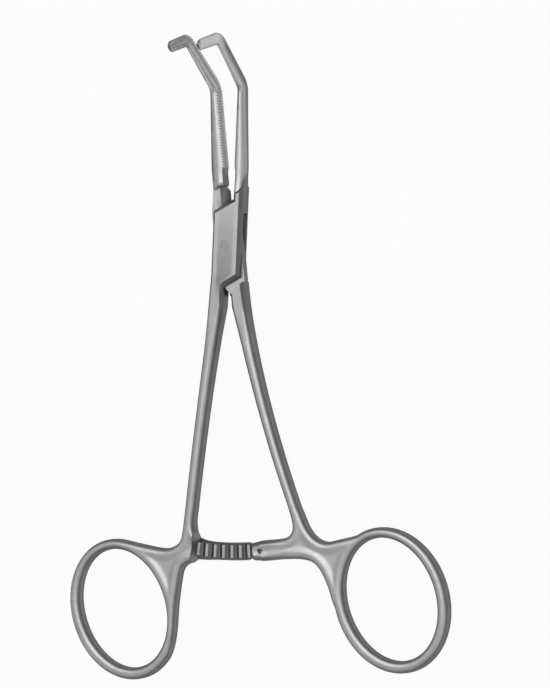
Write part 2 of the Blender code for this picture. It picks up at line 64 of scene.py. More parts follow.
class Body(Enum):
    """The rigid bodies of the frame."""

    BOX_SIDE = "box_side"
    MALE_SIDE = "male_side"


class Slot(Enum):
    """The material slots of the record."""

    SATIN = "satin_steel"
    PIN = "pin_steel"


class Side(Enum):
    """The side of the clamp's middle line on which a handle lies."""

    LEFT = -1
    RIGHT = 1


# Meshes and curves


def even_steps(first: float, last: float, count: int) -> list[float]:
    """Evenly spaced values from first to last.

    Args:
        first: The first value.
        last: The last value.
        count: How many values, both ends included.

    Returns:
        The values in order.
    """
    return [first + (last - first) * i / (count - 1) for i in range(count)]


def progress(value: float, start: float, end: float) -> float:
    """How far a value has gone from a start to an end, held between 0 and 1."""
    return min(1.0, max(0.0, (value - start) / (end - start)))


def smooth_through(points: Sequence[Vector], steps: int) -> list[Vector]:
    """Curve through every point but the first and last, which only steer its ends.

    Args:
        points: Points in order, with one more at each end to steer by.
        steps: How many points each stretch gets.

    Returns:
        The points of the curve, without its last one.
    """
    curve = []
    for before, start, end, after in zip(points, points[1:], points[2:], points[3:]):
        leave = 0.5 * (end - before)
        arrive = 0.5 * (after - start)
        for step in range(steps):
            t = step / steps
            curve.append(start * (2 * t ** 3 - 3 * t ** 2 + 1) + leave * (t ** 3 - 2 * t ** 2 + t)
                         + end * (3 * t ** 2 - 2 * t ** 3) + arrive * (t ** 3 - t ** 2))
    return curve


def straight_line(first_run: float, first: float, last_run: float,
                  last: float) -> Callable[[float], float]:
    """Function that goes straight from one value to another and stays level outside them.

    Args:
        first_run: Where the change starts.
        first: The value there and before it.
        last_run: Where the change ends.
        last: The value there and past it.

    Returns:
        A function of the run.
    """
    def value(run: float) -> float:
        """Value at a run."""
        return first + (last - first) * progress(run, first_run, last_run)
    return value


def arc_point(radius: float, x: float) -> Vector:
    """Point at a distance below the pivot, at the given place across."""
    return Vector((x, -math.sqrt(radius * radius - x * x)))


def add_object(name: str, data: bpy.types.ID) -> bpy.types.Object:
    """Link a new object into the scene.

    Args:
        name: Name of the object.
        data: What it shows.

    Returns:
        The object.
    """
    item = bpy.data.objects.new(name, data)
    bpy.context.scene.collection.objects.link(item)
    return item


def mesh_from(bm: bmesh.types.BMesh, name: str) -> bpy.types.Mesh:
    """Turn a bmesh into a mesh whose faces point outwards, and free it.

    Args:
        bm: The bmesh.
        name: Name of the mesh.

    Returns:
        The mesh.
    """
    bmesh.ops.recalc_face_normals(bm, faces=bm.faces)
    mesh = bpy.data.meshes.new(name)
    bm.to_mesh(mesh)
    bm.free()
    return mesh


def baked(item: bpy.types.Object, helpers: Sequence[bpy.types.Object] = ()) -> bpy.types.Object:
    """Apply an object's modifiers and remove the objects that they used.

    Args:
        item: The object with modifiers.
        helpers: Objects that are needed no more.

    Returns:
        A new object of the same name with a plain mesh.
    """
    graph = bpy.context.evaluated_depsgraph_get()
    mesh = bpy.data.meshes.new_from_object(item.evaluated_get(graph))
    name = item.name
    for used in (item, *helpers):
        bpy.data.objects.remove(used)
    mesh.name = name
    return add_object(name, mesh)


def prism(name: str, corners: Sequence[Point], bottom: float, top: float) -> bpy.types.Object:
    """Upright solid over a polygon.

    Args:
        name: Name of the object.
        corners: Polygon in X and Y.
        bottom: Lowest height.
        top: Highest height.

    Returns:
        The object.
    """
    bm = bmesh.new()
    face = bm.faces.new([bm.verts.new((x, y, bottom)) for x, y in corners])
    grown = bmesh.ops.extrude_face_region(bm, geom=[face])
    raised = [item for item in grown["geom"] if isinstance(item, bmesh.types.BMVert)]
    bmesh.ops.translate(bm, verts=raised, vec=(0.0, 0.0, top - bottom))
    return add_object(name, mesh_from(bm, name))


def cone(name: str, low_radius: float, top_radius: float, bottom: float, top: float,
         centre: Point = (0.0, 0.0), segments: int = 96) -> bpy.types.Object:
    """Upright round solid.

    Args:
        name: Name of the object.
        low_radius: Radius at the bottom.
        top_radius: Radius at the top.
        bottom: Lowest height.
        top: Highest height.
        centre: Place of its axis.
        segments: How many sides it has.

    Returns:
        The object.
    """
    bm = bmesh.new()
    place = Matrix.Translation((centre[0], centre[1], 0.5 * (bottom + top)))
    bmesh.ops.create_cone(bm, cap_ends=True, segments=segments, radius1=low_radius,
                          radius2=top_radius, depth=top - bottom, matrix=place)
    return add_object(name, mesh_from(bm, name))


def lofted(name: str, rings: Sequence[Sequence[Vector]]) -> bpy.types.Object:
    """Closed solid through rings of points, with a flat face at each end.

    Args:
        name: Name of the object.
        rings: Rings of equally many points, in order.

    Returns:
        The object.
    """
    bm = bmesh.new()
    loops = [[bm.verts.new(place) for place in ring] for ring in rings]
    for lower, upper in zip(loops, loops[1:]):
        for i, corner in enumerate(lower):
            after = (i + 1) % len(lower)
            bm.faces.new((corner, lower[after], upper[after], upper[i]))
    bm.faces.new(loops[0])
    bm.faces.new(loops[-1])
    return add_object(name, mesh_from(bm, name))


def sector(name: str, section: Sequence[Point], first: float, last: float,
           radius: float, ramp: Point = (0.0, 0.0), steps: int = 36) -> bpy.types.Object:
    """Solid swept about the pivot below the box.

    Args:
        name: Name of the object.
        section: Polygon of distance from the pivot and height.
        first: Where it starts, measured along the arm from the middle line.
        last: Where it ends.
        radius: The radius at which both are measured.
        ramp: Run and rise of a slope at its start.
        steps: How many sections it has past the slope.

    Returns:
        The object.
    """
    rings = []
    run, rise = ramp
    places = even_steps(first + run, last, steps)
    slope_start = [first] if run > 0.0 else []
    for place in slope_start + places:
        turn = place / radius
        lift = rise if place < places[0] else 0.0
        rings.append([Vector((distance * math.sin(turn), -distance * math.cos(turn),
                              height + lift)) for distance, height in section])
    return lofted(name, rings)


class EdgeField:
    """Distance of a place from the edges of a flat outline, and whether it lies inside it."""

    def __init__(self, edges: Sequence[tuple[Vector, Vector]]) -> None:
        """Stand a low wall on every edge.

        Args:
            edges: Both ends of each edge, holes included.
        """
        reach = 10.0 * MM
        corners = [(place.x, place.y, height) for start, end in edges
                   for place, height in ((start, -reach), (end, -reach), (end, reach),
                                         (start, reach))]
        walls = [tuple(range(4 * i, 4 * i + 4)) for i in range(len(edges))]
        self.walls = BVHTree.FromPolygons(corners, walls)

    def distance(self, x: float, y: float) -> float:
        """Distance from the nearest edge."""
        return self.walls.find_nearest((x, y, 0.0))[3]

    def inside(self, x: float, y: float) -> bool:
        """Whether a line to the right crosses an odd number of edges.

        Args:
            x: Place across.
            y: Place along.

        Returns:
            Whether the place lies inside.
        """
        place, crossed = Vector((x, y, 0.0)), 0
        while True:
            hit = self.walls.ray_cast(place, (1.0, 0.0, 0.0))[0]
            if hit is None:
                return crossed % 2 == 1
            crossed += 1
            place = hit + Vector((TINY, 0.0, 0.0))


def refill_cap(bm: bmesh.types.BMesh, level: float, edges: EdgeField, margin: float,
               step: float) -> None:
    """Give a flat cap inner points, so that it can be crowned or dished.

    Args:
        bm: The mesh whose cap is filled anew.
        level: Height of the cap.
        edges: The outline's edges.
        margin: How far from the edges the inner points stay.
        step: Distance between inner points.
    """
    flat = [face for face in bm.faces
            if all(abs(vert.co.z - level) < TINY for vert in face.verts)]
    bmesh.ops.delete(bm, geom=flat, context="FACES_KEEP_BOUNDARY")
    rim_edges = [edge for edge in bm.edges if len(edge.link_faces) == 1
                 and all(abs(vert.co.z - level) < TINY for vert in edge.verts)]
    rim = list({vert for edge in rim_edges for vert in edge.verts})
    rim.sort(key=lambda vert: vert.index)
    order = {vert: i for i, vert in enumerate(rim)}
    places = [Vector(vert.co.xy) for vert in rim]
    low_x, high_x = min(place.x for place in places), max(place.x for place in places)
    low_y, high_y = min(place.y for place in places), max(place.y for place in places)
    # Each row is shifted by half a step, so the rows lie closer together than their points.
    row_step = 0.87 * step
    for row in range(int((high_y - low_y) / row_step)):
        y = low_y + row_step * (row + 0.5)
        for column in range(int((high_x - low_x) / step) + 1):
            x = low_x + step * (column + 0.5 * (row % 2))
            if edges.distance(x, y) > margin and edges.inside(x, y):
                places.append(Vector((x, y)))
    pairs = [tuple(order[vert] for vert in edge.verts) for edge in rim_edges]
    points, _, faces, origins, _, _ = delaunay_2d_cdt(places, pairs, [], 1, 1e-9)
    within = EdgeField([(edge.verts[0].co.xy, edge.verts[1].co.xy) for edge in rim_edges])
    verts = []
    for point, origin in zip(points, origins):
        old = [i for i in origin if i < len(rim)]
        verts.append(rim[old[0]] if old else bm.verts.new((point.x, point.y, level)))
    for face in faces:
        centre = sum((points[i] for i in face), Vector((0.0, 0.0))) / len(face)
        if within.inside(centre.x, centre.y):
            bm.faces.new([verts[i] for i in face])
    loose = [vert for vert in bm.verts if not vert.link_faces]
    bmesh.ops.delete(bm, geom=loose, context="VERTS")


def boolean(item: bpy.types.Object, tool: bpy.types.Object, operation: str = "DIFFERENCE") -> None:
    """Add one exact Boolean to an object.

    Args:
        item: The object.
        tool: What it is cut by or joined with.
        operation: Blender's name of the operation.
    """
    modifier = item.modifiers.new(tool.name, "BOOLEAN")
    modifier.operation = operation
    modifier.solver = "EXACT"
    modifier.object = tool


# Nodes


def give_inputs(tree: bpy.types.NodeTree, node: bpy.types.Node,
                inputs: dict[int | str, SocketValue]) -> None:
    """Link or set inputs of a node.

    Args:
        tree: The node tree.
        node: The node.
        inputs: The output that feeds each input, or its value, by the input's name or number.
    """
    for key, value in inputs.items():
        if isinstance(value, bpy.types.NodeSocket):
            tree.links.new(value, node.inputs[key])
        else:
            node.inputs[key].default_value = value


def add_node(tree: bpy.types.NodeTree, kind: str,
             inputs: dict[int | str, SocketValue] | None = None,
             **settings: str | bpy.types.NodeTree) -> bpy.types.Node:
    """Add a node.

    Args:
        tree: The node tree.
        kind: Type of the node.
        inputs: The output that feeds each input, or its value, by the input's name or number.
        **settings: Properties of the node.

    Returns:
        The node.
    """
    node = tree.nodes.new(kind)
    for name, value in settings.items():
        setattr(node, name, value)
    give_inputs(tree, node, inputs or {})
    return node


def combined(tree: bpy.types.NodeTree, operation: str,
             *values: SocketValue) -> bpy.types.NodeSocket:
    """Combine values in a new math node.

    Args:
        tree: The node tree.
        operation: Blender's name of the operation.
        *values: What it combines, in order.

    Returns:
        The result.
    """
    node = add_node(tree, "ShaderNodeMath", dict(enumerate(values)), operation=operation)
    return node.outputs[0]


# Sizes of the clamp


@dataclass(frozen=True)
class BoxLock:
    """Sizes of the box and of the tongue that passes through it."""

    depth: float = 4.6 * MM
    outer: float = 3.4 * MM
    inner: float = 3.42 * MM
    plate_end: float = 9.4 * MM
    plate_slant: float = math.radians(29)
    jaw_side: float = 1.22 * MM
    jaw_seat: float = 10.9 * MM
    jaw_seat_slant: float = math.radians(33)
    tongue_thickness: float = 1.7 * MM
    tongue_half_width: float = 3.2 * MM
    tongue_inside_jaw: Point = (-2.4 * MM, 0.2 * MM)
    tongue_clearance: float = 0.06 * MM
    flank_clearance: float = 0.15 * MM
    flank_low: float = 7.2 * MM
    flank_high: float = 11.2 * MM
    tongue_tip: Point = (1.25 * MM, 11.5 * MM)
    shoulder_height: float = 12.9 * MM
    shoulder_slant: float = math.radians(17)
    heel_height: float = 10.55 * MM
    heel_slant: float = math.radians(35)
    heel_ease: float = 0.25 * MM
    shank_clearance: float = 0.06 * MM
    parting: float = 0.35 * MM
    bevel_width: float = 0.6 * MM
    bevel_drop: float = 0.6 * MM
    end_chamfer: float = 0.85 * MM
    end_chamfer_drop: float = 0.8 * MM
    upper_end_lift: float = 0.6 * MM
    cut_spare: float = 0.1 * MM
    end_ease: float = 0.02 * MM
    pin_radius: float = 1.0 * MM
    pin_recess: float = 0.005 * MM
    pin_edge: float = 0.04 * MM
    pin_fit: float = 0.012 * MM
    pin_running: float = 0.06 * MM

    @property
    def middle(self) -> float:
        """Height of the clamp's middle plane."""
        return 0.5 * self.depth

    def chamfered_cut(self, name: str,
                      corners: Callable[[float], Sequence[Point]]) -> bpy.types.Object:
        """Upright cutter that leaves chamfers along the front and back of what it cuts.

        Args:
            name: Name of the cutter.
            corners: Its polygon, grown by a given distance.

        Returns:
            The cutter.
        """
        spare = self.cut_spare
        wide = self.end_chamfer * (self.end_chamfer_drop + spare) / self.end_chamfer_drop
        levels = ((-self.depth, wide), (-spare, wide), (self.end_chamfer_drop, 0.0),
                  (self.depth - self.end_chamfer_drop, 0.0), (self.depth + spare, wide),
                  (2.0 * self.depth, wide))
        return lofted(name, [[Vector((x, y, height)) for x, y in corners(grown)]
                             for height, grown in levels])

    def slot(self) -> bpy.types.Object:
        """Cutter for the slot, with slanted ends clear of the tongue.

        Returns:
            The cutter.
        """
        half = 0.5 * self.tongue_thickness + self.tongue_clearance
        parting = self.parting - self.shank_clearance
        top_slope = (self.tongue_tip[1] - self.flank_low) / (self.tongue_half_width
                                                             - self.tongue_tip[0])
        low_slope = (self.flank_high - self.flank_low) / (self.tongue_half_width - parting)
        reach = 3.0 * self.outer
        top_lift = self.flank_clearance * math.hypot(1.0, top_slope)
        low_lift = self.flank_clearance * math.hypot(1.0, low_slope)

        def top(x: float) -> float:
            """Height of the slot's upper end."""
            return self.flank_low + top_slope * (self.tongue_half_width - x) + top_lift

        def low(x: float) -> float:
            """Height of the slot's lower end."""
            return -self.flank_low - low_slope * (self.tongue_half_width + x) - low_lift

        return prism("slot", ((-reach, low(-reach)), (0.0, low(0.0)), (reach, low(0.0)),
                              (reach, top(reach)), (0.0, top(0.0)), (-reach, top(0.0))),
                     self.middle - half, self.middle + half)


@dataclass(frozen=True)
class JawShape:
    """Path and section of the angled jaws, closed on the middle of their faces."""

    face_offset: float = 0.92 * MM
    face_gap: float = 0.1 * MM
    foot: float = 9.6 * MM
    first_bend_start: float = 33.1 * MM
    first_bend_radius: float = 3.2 * MM
    first_bend_angle: float = math.radians(51.5)
    middle_straight: float = 11.8 * MM
    second_bend_radius: float = 3.2 * MM
    second_bend_angle: float = math.radians(54)
    tip_straight: float = 7.8 * MM
    face_width: float = 3.15 * MM
    tip_width: float = 2.4 * MM
    foot_width: float = 3.9 * MM
    chamfer_run: float = 0.52 * MM
    foot_flare_top: float = 15.0 * MM
    teeth_start: float = 17.2 * MM
    groove_run_out: float = 1.4 * MM
    tooth_pitch: float = 0.6 * MM
    tooth_depth: float = 0.2 * MM
    sink: float = 0.01 * MM
    teeth_end: float = 0.2
    groove_depth: float = 0.32 * MM
    ridge_height: float = 0.2 * MM
    face_edge: float = 0.4 * MM
    back_power: float = 2.2
    back_start: float = 0.3
    least_tip: float = 0.03
    station_step: float = 0.35 * MM
    tip_steps: int = 10
    back_steps: int = 25
    path_steps: int = 260

    def length(self) -> float:
        """Length of the jaw's path from the pivot to its tip.

        Returns:
            The length.
        """
        return (self.first_bend_start + self.first_bend_radius * self.first_bend_angle
                + self.middle_straight + self.second_bend_radius * self.second_bend_angle
                + self.tip_straight)

    def place(self, run: float, height: float) -> tuple[float, float, float]:
        """Centre of the jaw on its path.

        Args:
            run: Distance along the path from the pivot.
            height: Height of the straight stretch.

        Returns:
            Its Y, its Z, and the angle of its way above Y.
        """
        y, z, way = 0.0, height, 0.0
        bends = ((self.first_bend_start, None),
                 (self.first_bend_radius * self.first_bend_angle, self.first_bend_radius),
                 (self.middle_straight, None),
                 (self.second_bend_radius * self.second_bend_angle, self.second_bend_radius),
                 (self.tip_straight, None))
        left = run
        for length, radius in bends:
            step = min(left, length)
            if radius is None:
                y += step * math.cos(way)
                z += step * math.sin(way)
            else:
                turned = way + step / radius
                y += radius * (math.sin(turned) - math.sin(way))
                z += radius * (math.cos(way) - math.cos(turned))
                way = turned
            left -= step
        return y, z, way

    def tip_round(self, run: float, half: float) -> float:
        """Share of the width that the rounded tip leaves.

        Args:
            run: Distance along the path from the pivot.
            half: Half the width there without the tip's rounding.

        Returns:
            The share.
        """
        to_tip = self.length() - run
        if to_tip >= half:
            return 1.0
        return math.sqrt(max(self.least_tip, 1.0 - (1.0 - to_tip / half) ** 2))

    def half_width(self, run: float) -> float:
        """Half the width of the jaw's face.

        Args:
            run: Distance along the path from the pivot.

        Returns:
            Half the width there.
        """
        flare = max(0.0, self.foot_flare_top - run) / (self.foot_flare_top - self.foot)
        taper = max(0.0, run - self.first_bend_start) / (self.length() - self.first_bend_start)
        half = 0.5 * (self.face_width + (self.foot_width - self.face_width) * flare
                      + (self.tip_width - self.face_width) * taper)
        return half * self.tip_round(run, half)

    def stations(self, foot: float) -> list[float]:
        """Places of the loft's rings, closer together round the tip.

        Args:
            foot: The run at which the jaw starts.

        Returns:
            The runs in order.
        """
        tip = self.length() - 0.5 * self.tip_width
        count = int((tip - foot) / self.station_step)
        runs = even_steps(foot, tip, count)
        for step in even_steps(0.0, 0.5 * math.pi, self.tip_steps)[1:]:
            runs.append(tip + 0.5 * self.tip_width * math.sin(step))
        return runs

    def back_section(self, half: float, back: float) -> list[Point]:
        """Rounded back of the section, from its low side over to its high side.

        Args:
            half: Half the face's width.
            back: Thickness of the jaw.

        Returns:
            Each point's place across and its depth behind the face.
        """
        points = []
        for turn in even_steps(0.0, math.pi, self.back_steps):
            across = -math.cos(turn)
            lift = math.sin(turn)
            reach = math.copysign(abs(across) ** (2.0 / self.back_power), across)
            depth = self.back_start + (1.0 - self.back_start) * lift ** (2.0 / self.back_power)
            points.append((half * reach, back * depth))
        return points

    def loft(self, name: str, side: int, foot: float, slope: float, chamfer: float, lock: BoxLock,
             thicknesses: tuple[float, float, float], foot_relief: float,
             face: Callable[[float], list[Point]]) -> bpy.types.Object:
        """Jaw lofted along its path.

        Args:
            name: Name of the object.
            side: Which way the jaw's back lies, 1 for +X.
            foot: The run at which it starts.
            slope: How far its foot leans, in height for each unit across.
            chamfer: How much narrower its foot starts.
            lock: The box lock that it grows from.
            thicknesses: Its thickness at the teeth's start, the first bend and the tip.
            foot_relief: How far its face stands back below the teeth.
            face: The face's section for the share of its full depth.

        Returns:
            The jaw.
        """
        relief = straight_line(self.teeth_start - self.groove_run_out, foot_relief,
                               self.teeth_start, 0.0)
        straight = straight_line(self.teeth_start, thicknesses[0],
                                 self.first_bend_start, thicknesses[1])
        bent = straight_line(self.first_bend_start, 1.0, self.length(),
                             thicknesses[2] / thicknesses[1])
        narrowing = straight_line(foot, chamfer, foot + self.chamfer_run, 0.0)
        rings = []
        for run in self.stations(foot):
            y, z, way = self.place(run, lock.middle)
            half = self.half_width(run) - narrowing(run)
            ease = 0.5 + 0.5 * self.tip_round(run, 0.5 * self.tip_width)
            share = progress(run, self.teeth_start - self.groove_run_out, self.teeth_start)
            corners = [(half * across, depth + relief(run)) for across, depth in face(share)]
            corners += self.back_section(half, straight(run) * bent(run) * ease)
            lean = slope * max(0.0, 1.0 - (run - foot) / (self.teeth_start - foot))
            ring = []
            for across, depth in corners:
                x = self.face_offset + side * (0.5 * self.face_gap + depth)
                ring.append(Vector((x, y - across * math.sin(way) + x * lean,
                                    z + across * math.cos(way))))
            rings.append(ring)
        return lofted(name, rings)

    def male_face(self, share: float) -> list[Point]:
        """Floor of two toothed rows beside a groove, from its high side to its low side.

        Args:
            share: Share of the full depth that the floor has.

        Returns:
            Each point's place across, as a share of half the width, and its depth.
        """
        root = self.tooth_depth * share
        groove = self.groove_depth * share
        right = [(0.97, self.face_edge + 0.06 * MM), (0.9, root), (0.3, root), (0.2, 0.8 * groove),
                 (0.08, groove)]
        return right + [(-across, depth) for across, depth in reversed(right)]

    def female_face(self, share: float) -> list[Point]:
        """Plain land that carries the mating ridge, from its high side to its low side.

        Args:
            share: Share of the full depth that its edges have.

        Returns:
            Each point's place across, as a share of half the width, and its depth.
        """
        edge = self.face_edge * (0.5 + 0.5 * share)
        right = [(0.97, edge + 0.04 * MM), (0.85, 0.02 * MM), (0.75, 0.0), (0.3, 0.0)]
        return right + [(-across, depth) for across, depth in reversed(right)]

    def path(self, lock: BoxLock, x: float) -> list[tuple[Vector, float]]:
        """Middle of the toothed stretch of a face.

        Args:
            lock: The box lock, for the height of the path.
            x: Place of the face's floor.

        Returns:
            Each point with half the face's width there.
        """
        points = []
        last = self.length() - self.teeth_end * self.face_width
        for run in even_steps(self.teeth_start, last, self.path_steps):
            y, z, _ = self.place(run, lock.middle)
            points.append((Vector((x, y, z)), self.half_width(run)))
        return points


@dataclass(frozen=True)
class Ring:
    """Sizes of a finger ring."""

    hole: Point = (10.3 * MM, 13.4 * MM)
    bar: float = 2.8 * MM
    lengthwise_bar: float = 2.4 * MM
    hole_rise: float = 0.2 * MM
    segments: int = 180

    def point(self, centre: Vector, radii: Point, lean: float, turn: float) -> Vector:
        """Point of a leaning ellipse.

        Args:
            centre: Its centre.
            radii: Its radii across and along.
            lean: How far its long axis leans.
            turn: Angle of the point, 0 at the top end and growing outwards.

        Returns:
            The point.
        """
        along = Vector((-math.sin(lean), math.cos(lean)))
        across = Vector((math.cos(lean), math.sin(lean)))
        return centre + along * (radii[1] * math.cos(turn)) + across * (radii[0] * math.sin(turn))


@dataclass(frozen=True)
class Ratchet:
    """Sizes that both ratchet arms share."""

    radius: float = 66.325 * MM
    cut_above: float = 1.6 * MM
    cut_below: float = 3.2 * MM
    gap: float = 0.1 * MM
    pitch: float = 2.05 * MM
    tooth: float = 0.45 * MM
    sink: float = 0.02 * MM
    bevel: float = 0.6 * MM
    bevel_drop: float = 0.6 * MM


@dataclass(frozen=True)
class Handle:
    """Outline of one handle, measured outwards from the middle line.

    The ring and the shoulder are placed in millimetres from the middle of the shank's foot,
    at the height of the ratchet's middle, the web's side from the arm's lower edge below the
    foot, and the armpit from its upper edge.
    """

    side: Side
    shank_start: float
    shank_slope: float
    shank_bow: float
    ring_centre: Point
    ring_lean: float
    ring_turns: Point
    shoulder: tuple[Point, ...]
    web_side: tuple[Point, ...]
    armpit: tuple[Point, ...]
    arm_reach: float
    arm_width: float
    arm_wall: float
    arm_drop: float = 0.0
    ratchet_radius: float = 66.325 * MM
    foot_rise: float = 9.325 * MM
    shank_top: float = 13.3 * MM
    width_top: float = 3.5 * MM
    width_low: float = 2.75 * MM
    taper_length: float = 12.0 * MM
    edge_round: float = 1.0 * MM
    crown_reach: float = 1.38 * MM
    crown_drop: float = 1.35 * MM
    tip_power: float = 2.6
    flat_arm: float = 7.0 * MM
    flat_arm_start: float = 3.0 * MM
    arm_bevel: float = 1.5
    crown_start: float = 13.0 * MM
    crown_full: float = 22.0 * MM
    dish_depth: float = 0.28 * MM
    dish_run: float = 1.5 * MM
    web_fade: float = 8.0 * MM
    ring_depth: float = 3.2 * MM
    depth_taper: float = 14.0 * MM
    thinning_start: float = 7.315 * MM
    shank_steps: int = 34
    arm_steps: int = 16
    tip_steps: int = 33
    bridge_steps: int = 9
    round_steps: int = 7
    cap_margin: float = 0.2 * MM
    cap_step: float = 0.5 * MM
    ring: Ring = field(default_factory=Ring)

    @property
    def shank_foot(self) -> float:
        """How far below the pivot the shank ends."""
        return self.ratchet_radius - self.foot_rise

    @property
    def arm_edges(self) -> Point:
        """How far below the pivot the arm's upper and lower edges lie."""
        middle = self.ratchet_radius + self.arm_drop
        return middle - 0.5 * self.arm_width, middle + 0.5 * self.arm_width

    def shank_middle(self, y: float) -> float:
        """Distance of the shank's middle from the clamp's middle line at a height."""
        run = -self.shank_top - y
        return self.shank_start + self.shank_slope * run + self.shank_bow * run * run

    def shank_edge(self, y: float, outward: int) -> Vector:
        """Point on an edge of the shank.

        Args:
            y: Height of the point.
            outward: 1 for the outer edge and -1 for the inner one.

        Returns:
            The point.
        """
        share = math.exp(-max(0.0, -self.shank_top - y) / self.taper_length)
        width = self.width_low + (self.width_top - self.width_low) * share
        return Vector((self.shank_middle(y) + 0.5 * outward * width, y))

    def below_foot(self, places: Sequence[Point], level: float) -> list[Vector]:
        """Places from the shank's foot outwards and from a level below the pivot upwards."""
        start = Vector((self.shank_middle(-self.shank_foot), -level))
        return [start + Vector(place) * MM for place in places]

    def ring_edge(self) -> list[Vector]:
        """Outer edge of the ring.

        Returns:
            Its points from the shoulder round to the web's side.
        """
        radii = (self.ring.hole[0] + self.ring.bar, self.ring.hole[1] + self.ring.lengthwise_bar)
        centre = self.below_foot([self.ring_centre], self.ratchet_radius)[0]
        return [self.ring.point(centre, radii, self.ring_lean, turn)
                for turn in even_steps(*self.ring_turns, int(0.8 * self.ring.segments))]

    def ring_hole(self) -> list[Vector]:
        """Edge of the finger hole.

        Returns:
            Its points, drawn the other way round.
        """
        centre = self.below_foot([self.ring_centre], self.ratchet_radius)[0]
        centre += Vector((0.0, self.ring.hole_rise))
        return [self.ring.point(centre, self.ring.hole, self.ring_lean, -turn)
                for turn in even_steps(0.0, math.tau, self.ring.segments + 1)[:-1]]

    def arm(self) -> list[Vector]:
        """Edge of the ratchet arm.

        Returns:
            The points of its lower edge, its rounded tip and its upper edge.
        """
        inner, outer = self.arm_edges
        tip_radius = 0.5 * (outer - inner)
        straight_end = tip_radius - self.arm_reach
        span = [straight_end]
        if straight_end < 0.0:
            span = even_steps(0.0, straight_end, self.arm_steps)
        points = [arc_point(outer, x) for x in span]
        for turn in even_steps(0.0, math.pi, self.tip_steps)[1:-1]:
            across, along = math.cos(turn), math.sin(turn)
            x = straight_end - tip_radius * along ** (2.0 / self.tip_power)
            across = math.copysign(abs(across) ** (2.0 / self.tip_power), across)
            points.append(arc_point(0.5 * (outer + inner) + tip_radius * across, x))
        return points + [arc_point(inner, x) for x in reversed(span)]

    def outline(self) -> list[Vector]:
        """Outline below the box.

        Returns:
            The points of the outer edge, the ring, the ratchet arm and the inner edge.
        """
        heights = even_steps(-self.shank_top, -self.shank_foot, self.shank_steps)
        outer = [self.shank_edge(y, 1) for y in heights]
        inner = [self.shank_edge(y, -1) for y in reversed(heights)]
        ring, arm = self.ring_edge(), self.arm()

        def bridge(before: list[Vector], through: tuple[Point, ...], level: float,
                   after: list[Vector]) -> list[Vector]:
            """Smooth stretch between two edges.

            Args:
                before: The edge that it leaves.
                through: The places that it passes.
                level: How far below the pivot those places are measured from.
                after: The edge that it joins.

            Returns:
                Its points.
            """
            return smooth_through([*self.lead(before[::-1])[::-1],
                                   *self.below_foot(through, level), *self.lead(after)],
                                  self.bridge_steps)

        upper, lower = self.arm_edges
        points = outer[:-1] + bridge(outer, self.shoulder, self.ratchet_radius, ring)
        points += ring[:-1] + bridge(ring, self.web_side, lower, arm)
        points += arm[:-1] + bridge(arm, self.armpit, upper, inner)
        return points + inner

    @staticmethod
    def lead(points: Sequence[Vector], reach: float = 3.0 * MM) -> list[Vector]:
        """Start of an edge, for a curve that joins it.

        Args:
            points: The edge.
            reach: How far on the curve is steered to.

        Returns:
            The first point, and the one that lies a reach past it.
        """
        first = points[0]
        for place in points:
            if (place - first).length >= reach:
                return [first, place]
        return [first, points[-1]]

    def depth_at(self, y: float, full: float) -> float:
        """Depth of the forging, which is full at the box and less towards the rings."""
        run = max(0.0, -self.thinning_start - y)
        return self.ring_depth + (full - self.ring_depth) * math.exp(-run / self.depth_taper)

    def blank(self, name: str, outline: Sequence[Vector], lock: BoxLock) -> bpy.types.Object:
        """Forged plate with rounded edges, thinned towards the ring.

        Args:
            name: Name of the object.
            outline: Its closed outline, drawn outwards.
            lock: The box lock, whose edges are bevelled flatter.

        Returns:
            The blank.
        """
        loops = [[Vector((self.side.value * place.x, place.y)) for place in loop]
                 for loop in (outline, self.ring_hole())]
        curve = bpy.data.curves.new(name, "CURVE")
        curve.dimensions = "2D"
        curve.fill_mode = "BOTH"
        curve.extrude = 0.5 * lock.depth - self.edge_round
        curve.bevel_depth = self.edge_round
        curve.bevel_resolution = self.round_steps
        curve.offset = -self.edge_round
        # The left handle's loops are mirrored, so they are drawn the other way round.
        for loop in loops:
            spline = curve.splines.new("POLY")
            spline.points.add(len(loop) - 1)
            for point, place in zip(spline.points, loop[::self.side.value]):
                point.co = (place.x, place.y, 0.0, 1.0)
            spline.use_cyclic_u = True
        item = baked(add_object(name, curve))
        edges = EdgeField([pair for loop in loops for pair in zip(loop, loop[1:] + loop[:1])])
        bm = bmesh.new()
        bm.from_mesh(item.data)
        bmesh.ops.remove_doubles(bm, verts=bm.verts, dist=TINY)
        for level in (0.5 * lock.depth, -0.5 * lock.depth):
            refill_cap(bm, level, edges, self.edge_round + self.cap_margin, self.cap_step)
        for vert in bm.verts:
            inset = edges.distance(vert.co.x, vert.co.y)
            height = self.half_height(inset, vert.co.xy, lock, vert.co.z < 0.0)
            vert.co.z = lock.middle + math.copysign(height, vert.co.z)
        bmesh.ops.recalc_face_normals(bm, faces=bm.faces)
        bm.to_mesh(item.data)
        bm.free()
        return item

    def half_height(self, inset: float, place: Vector, lock: BoxLock, back: bool) -> float:
        """Half the forging's depth at a place.

        Args:
            inset: Distance from the outline.
            place: The place in the clamp's plane.
            lock: The box lock, whose edges are bevelled flatter in front.
            back: Whether the place is on the back.

        Returns:
            The height above the middle plane.
        """
        y = place.y
        half = 0.5 * self.depth_at(y, lock.depth)
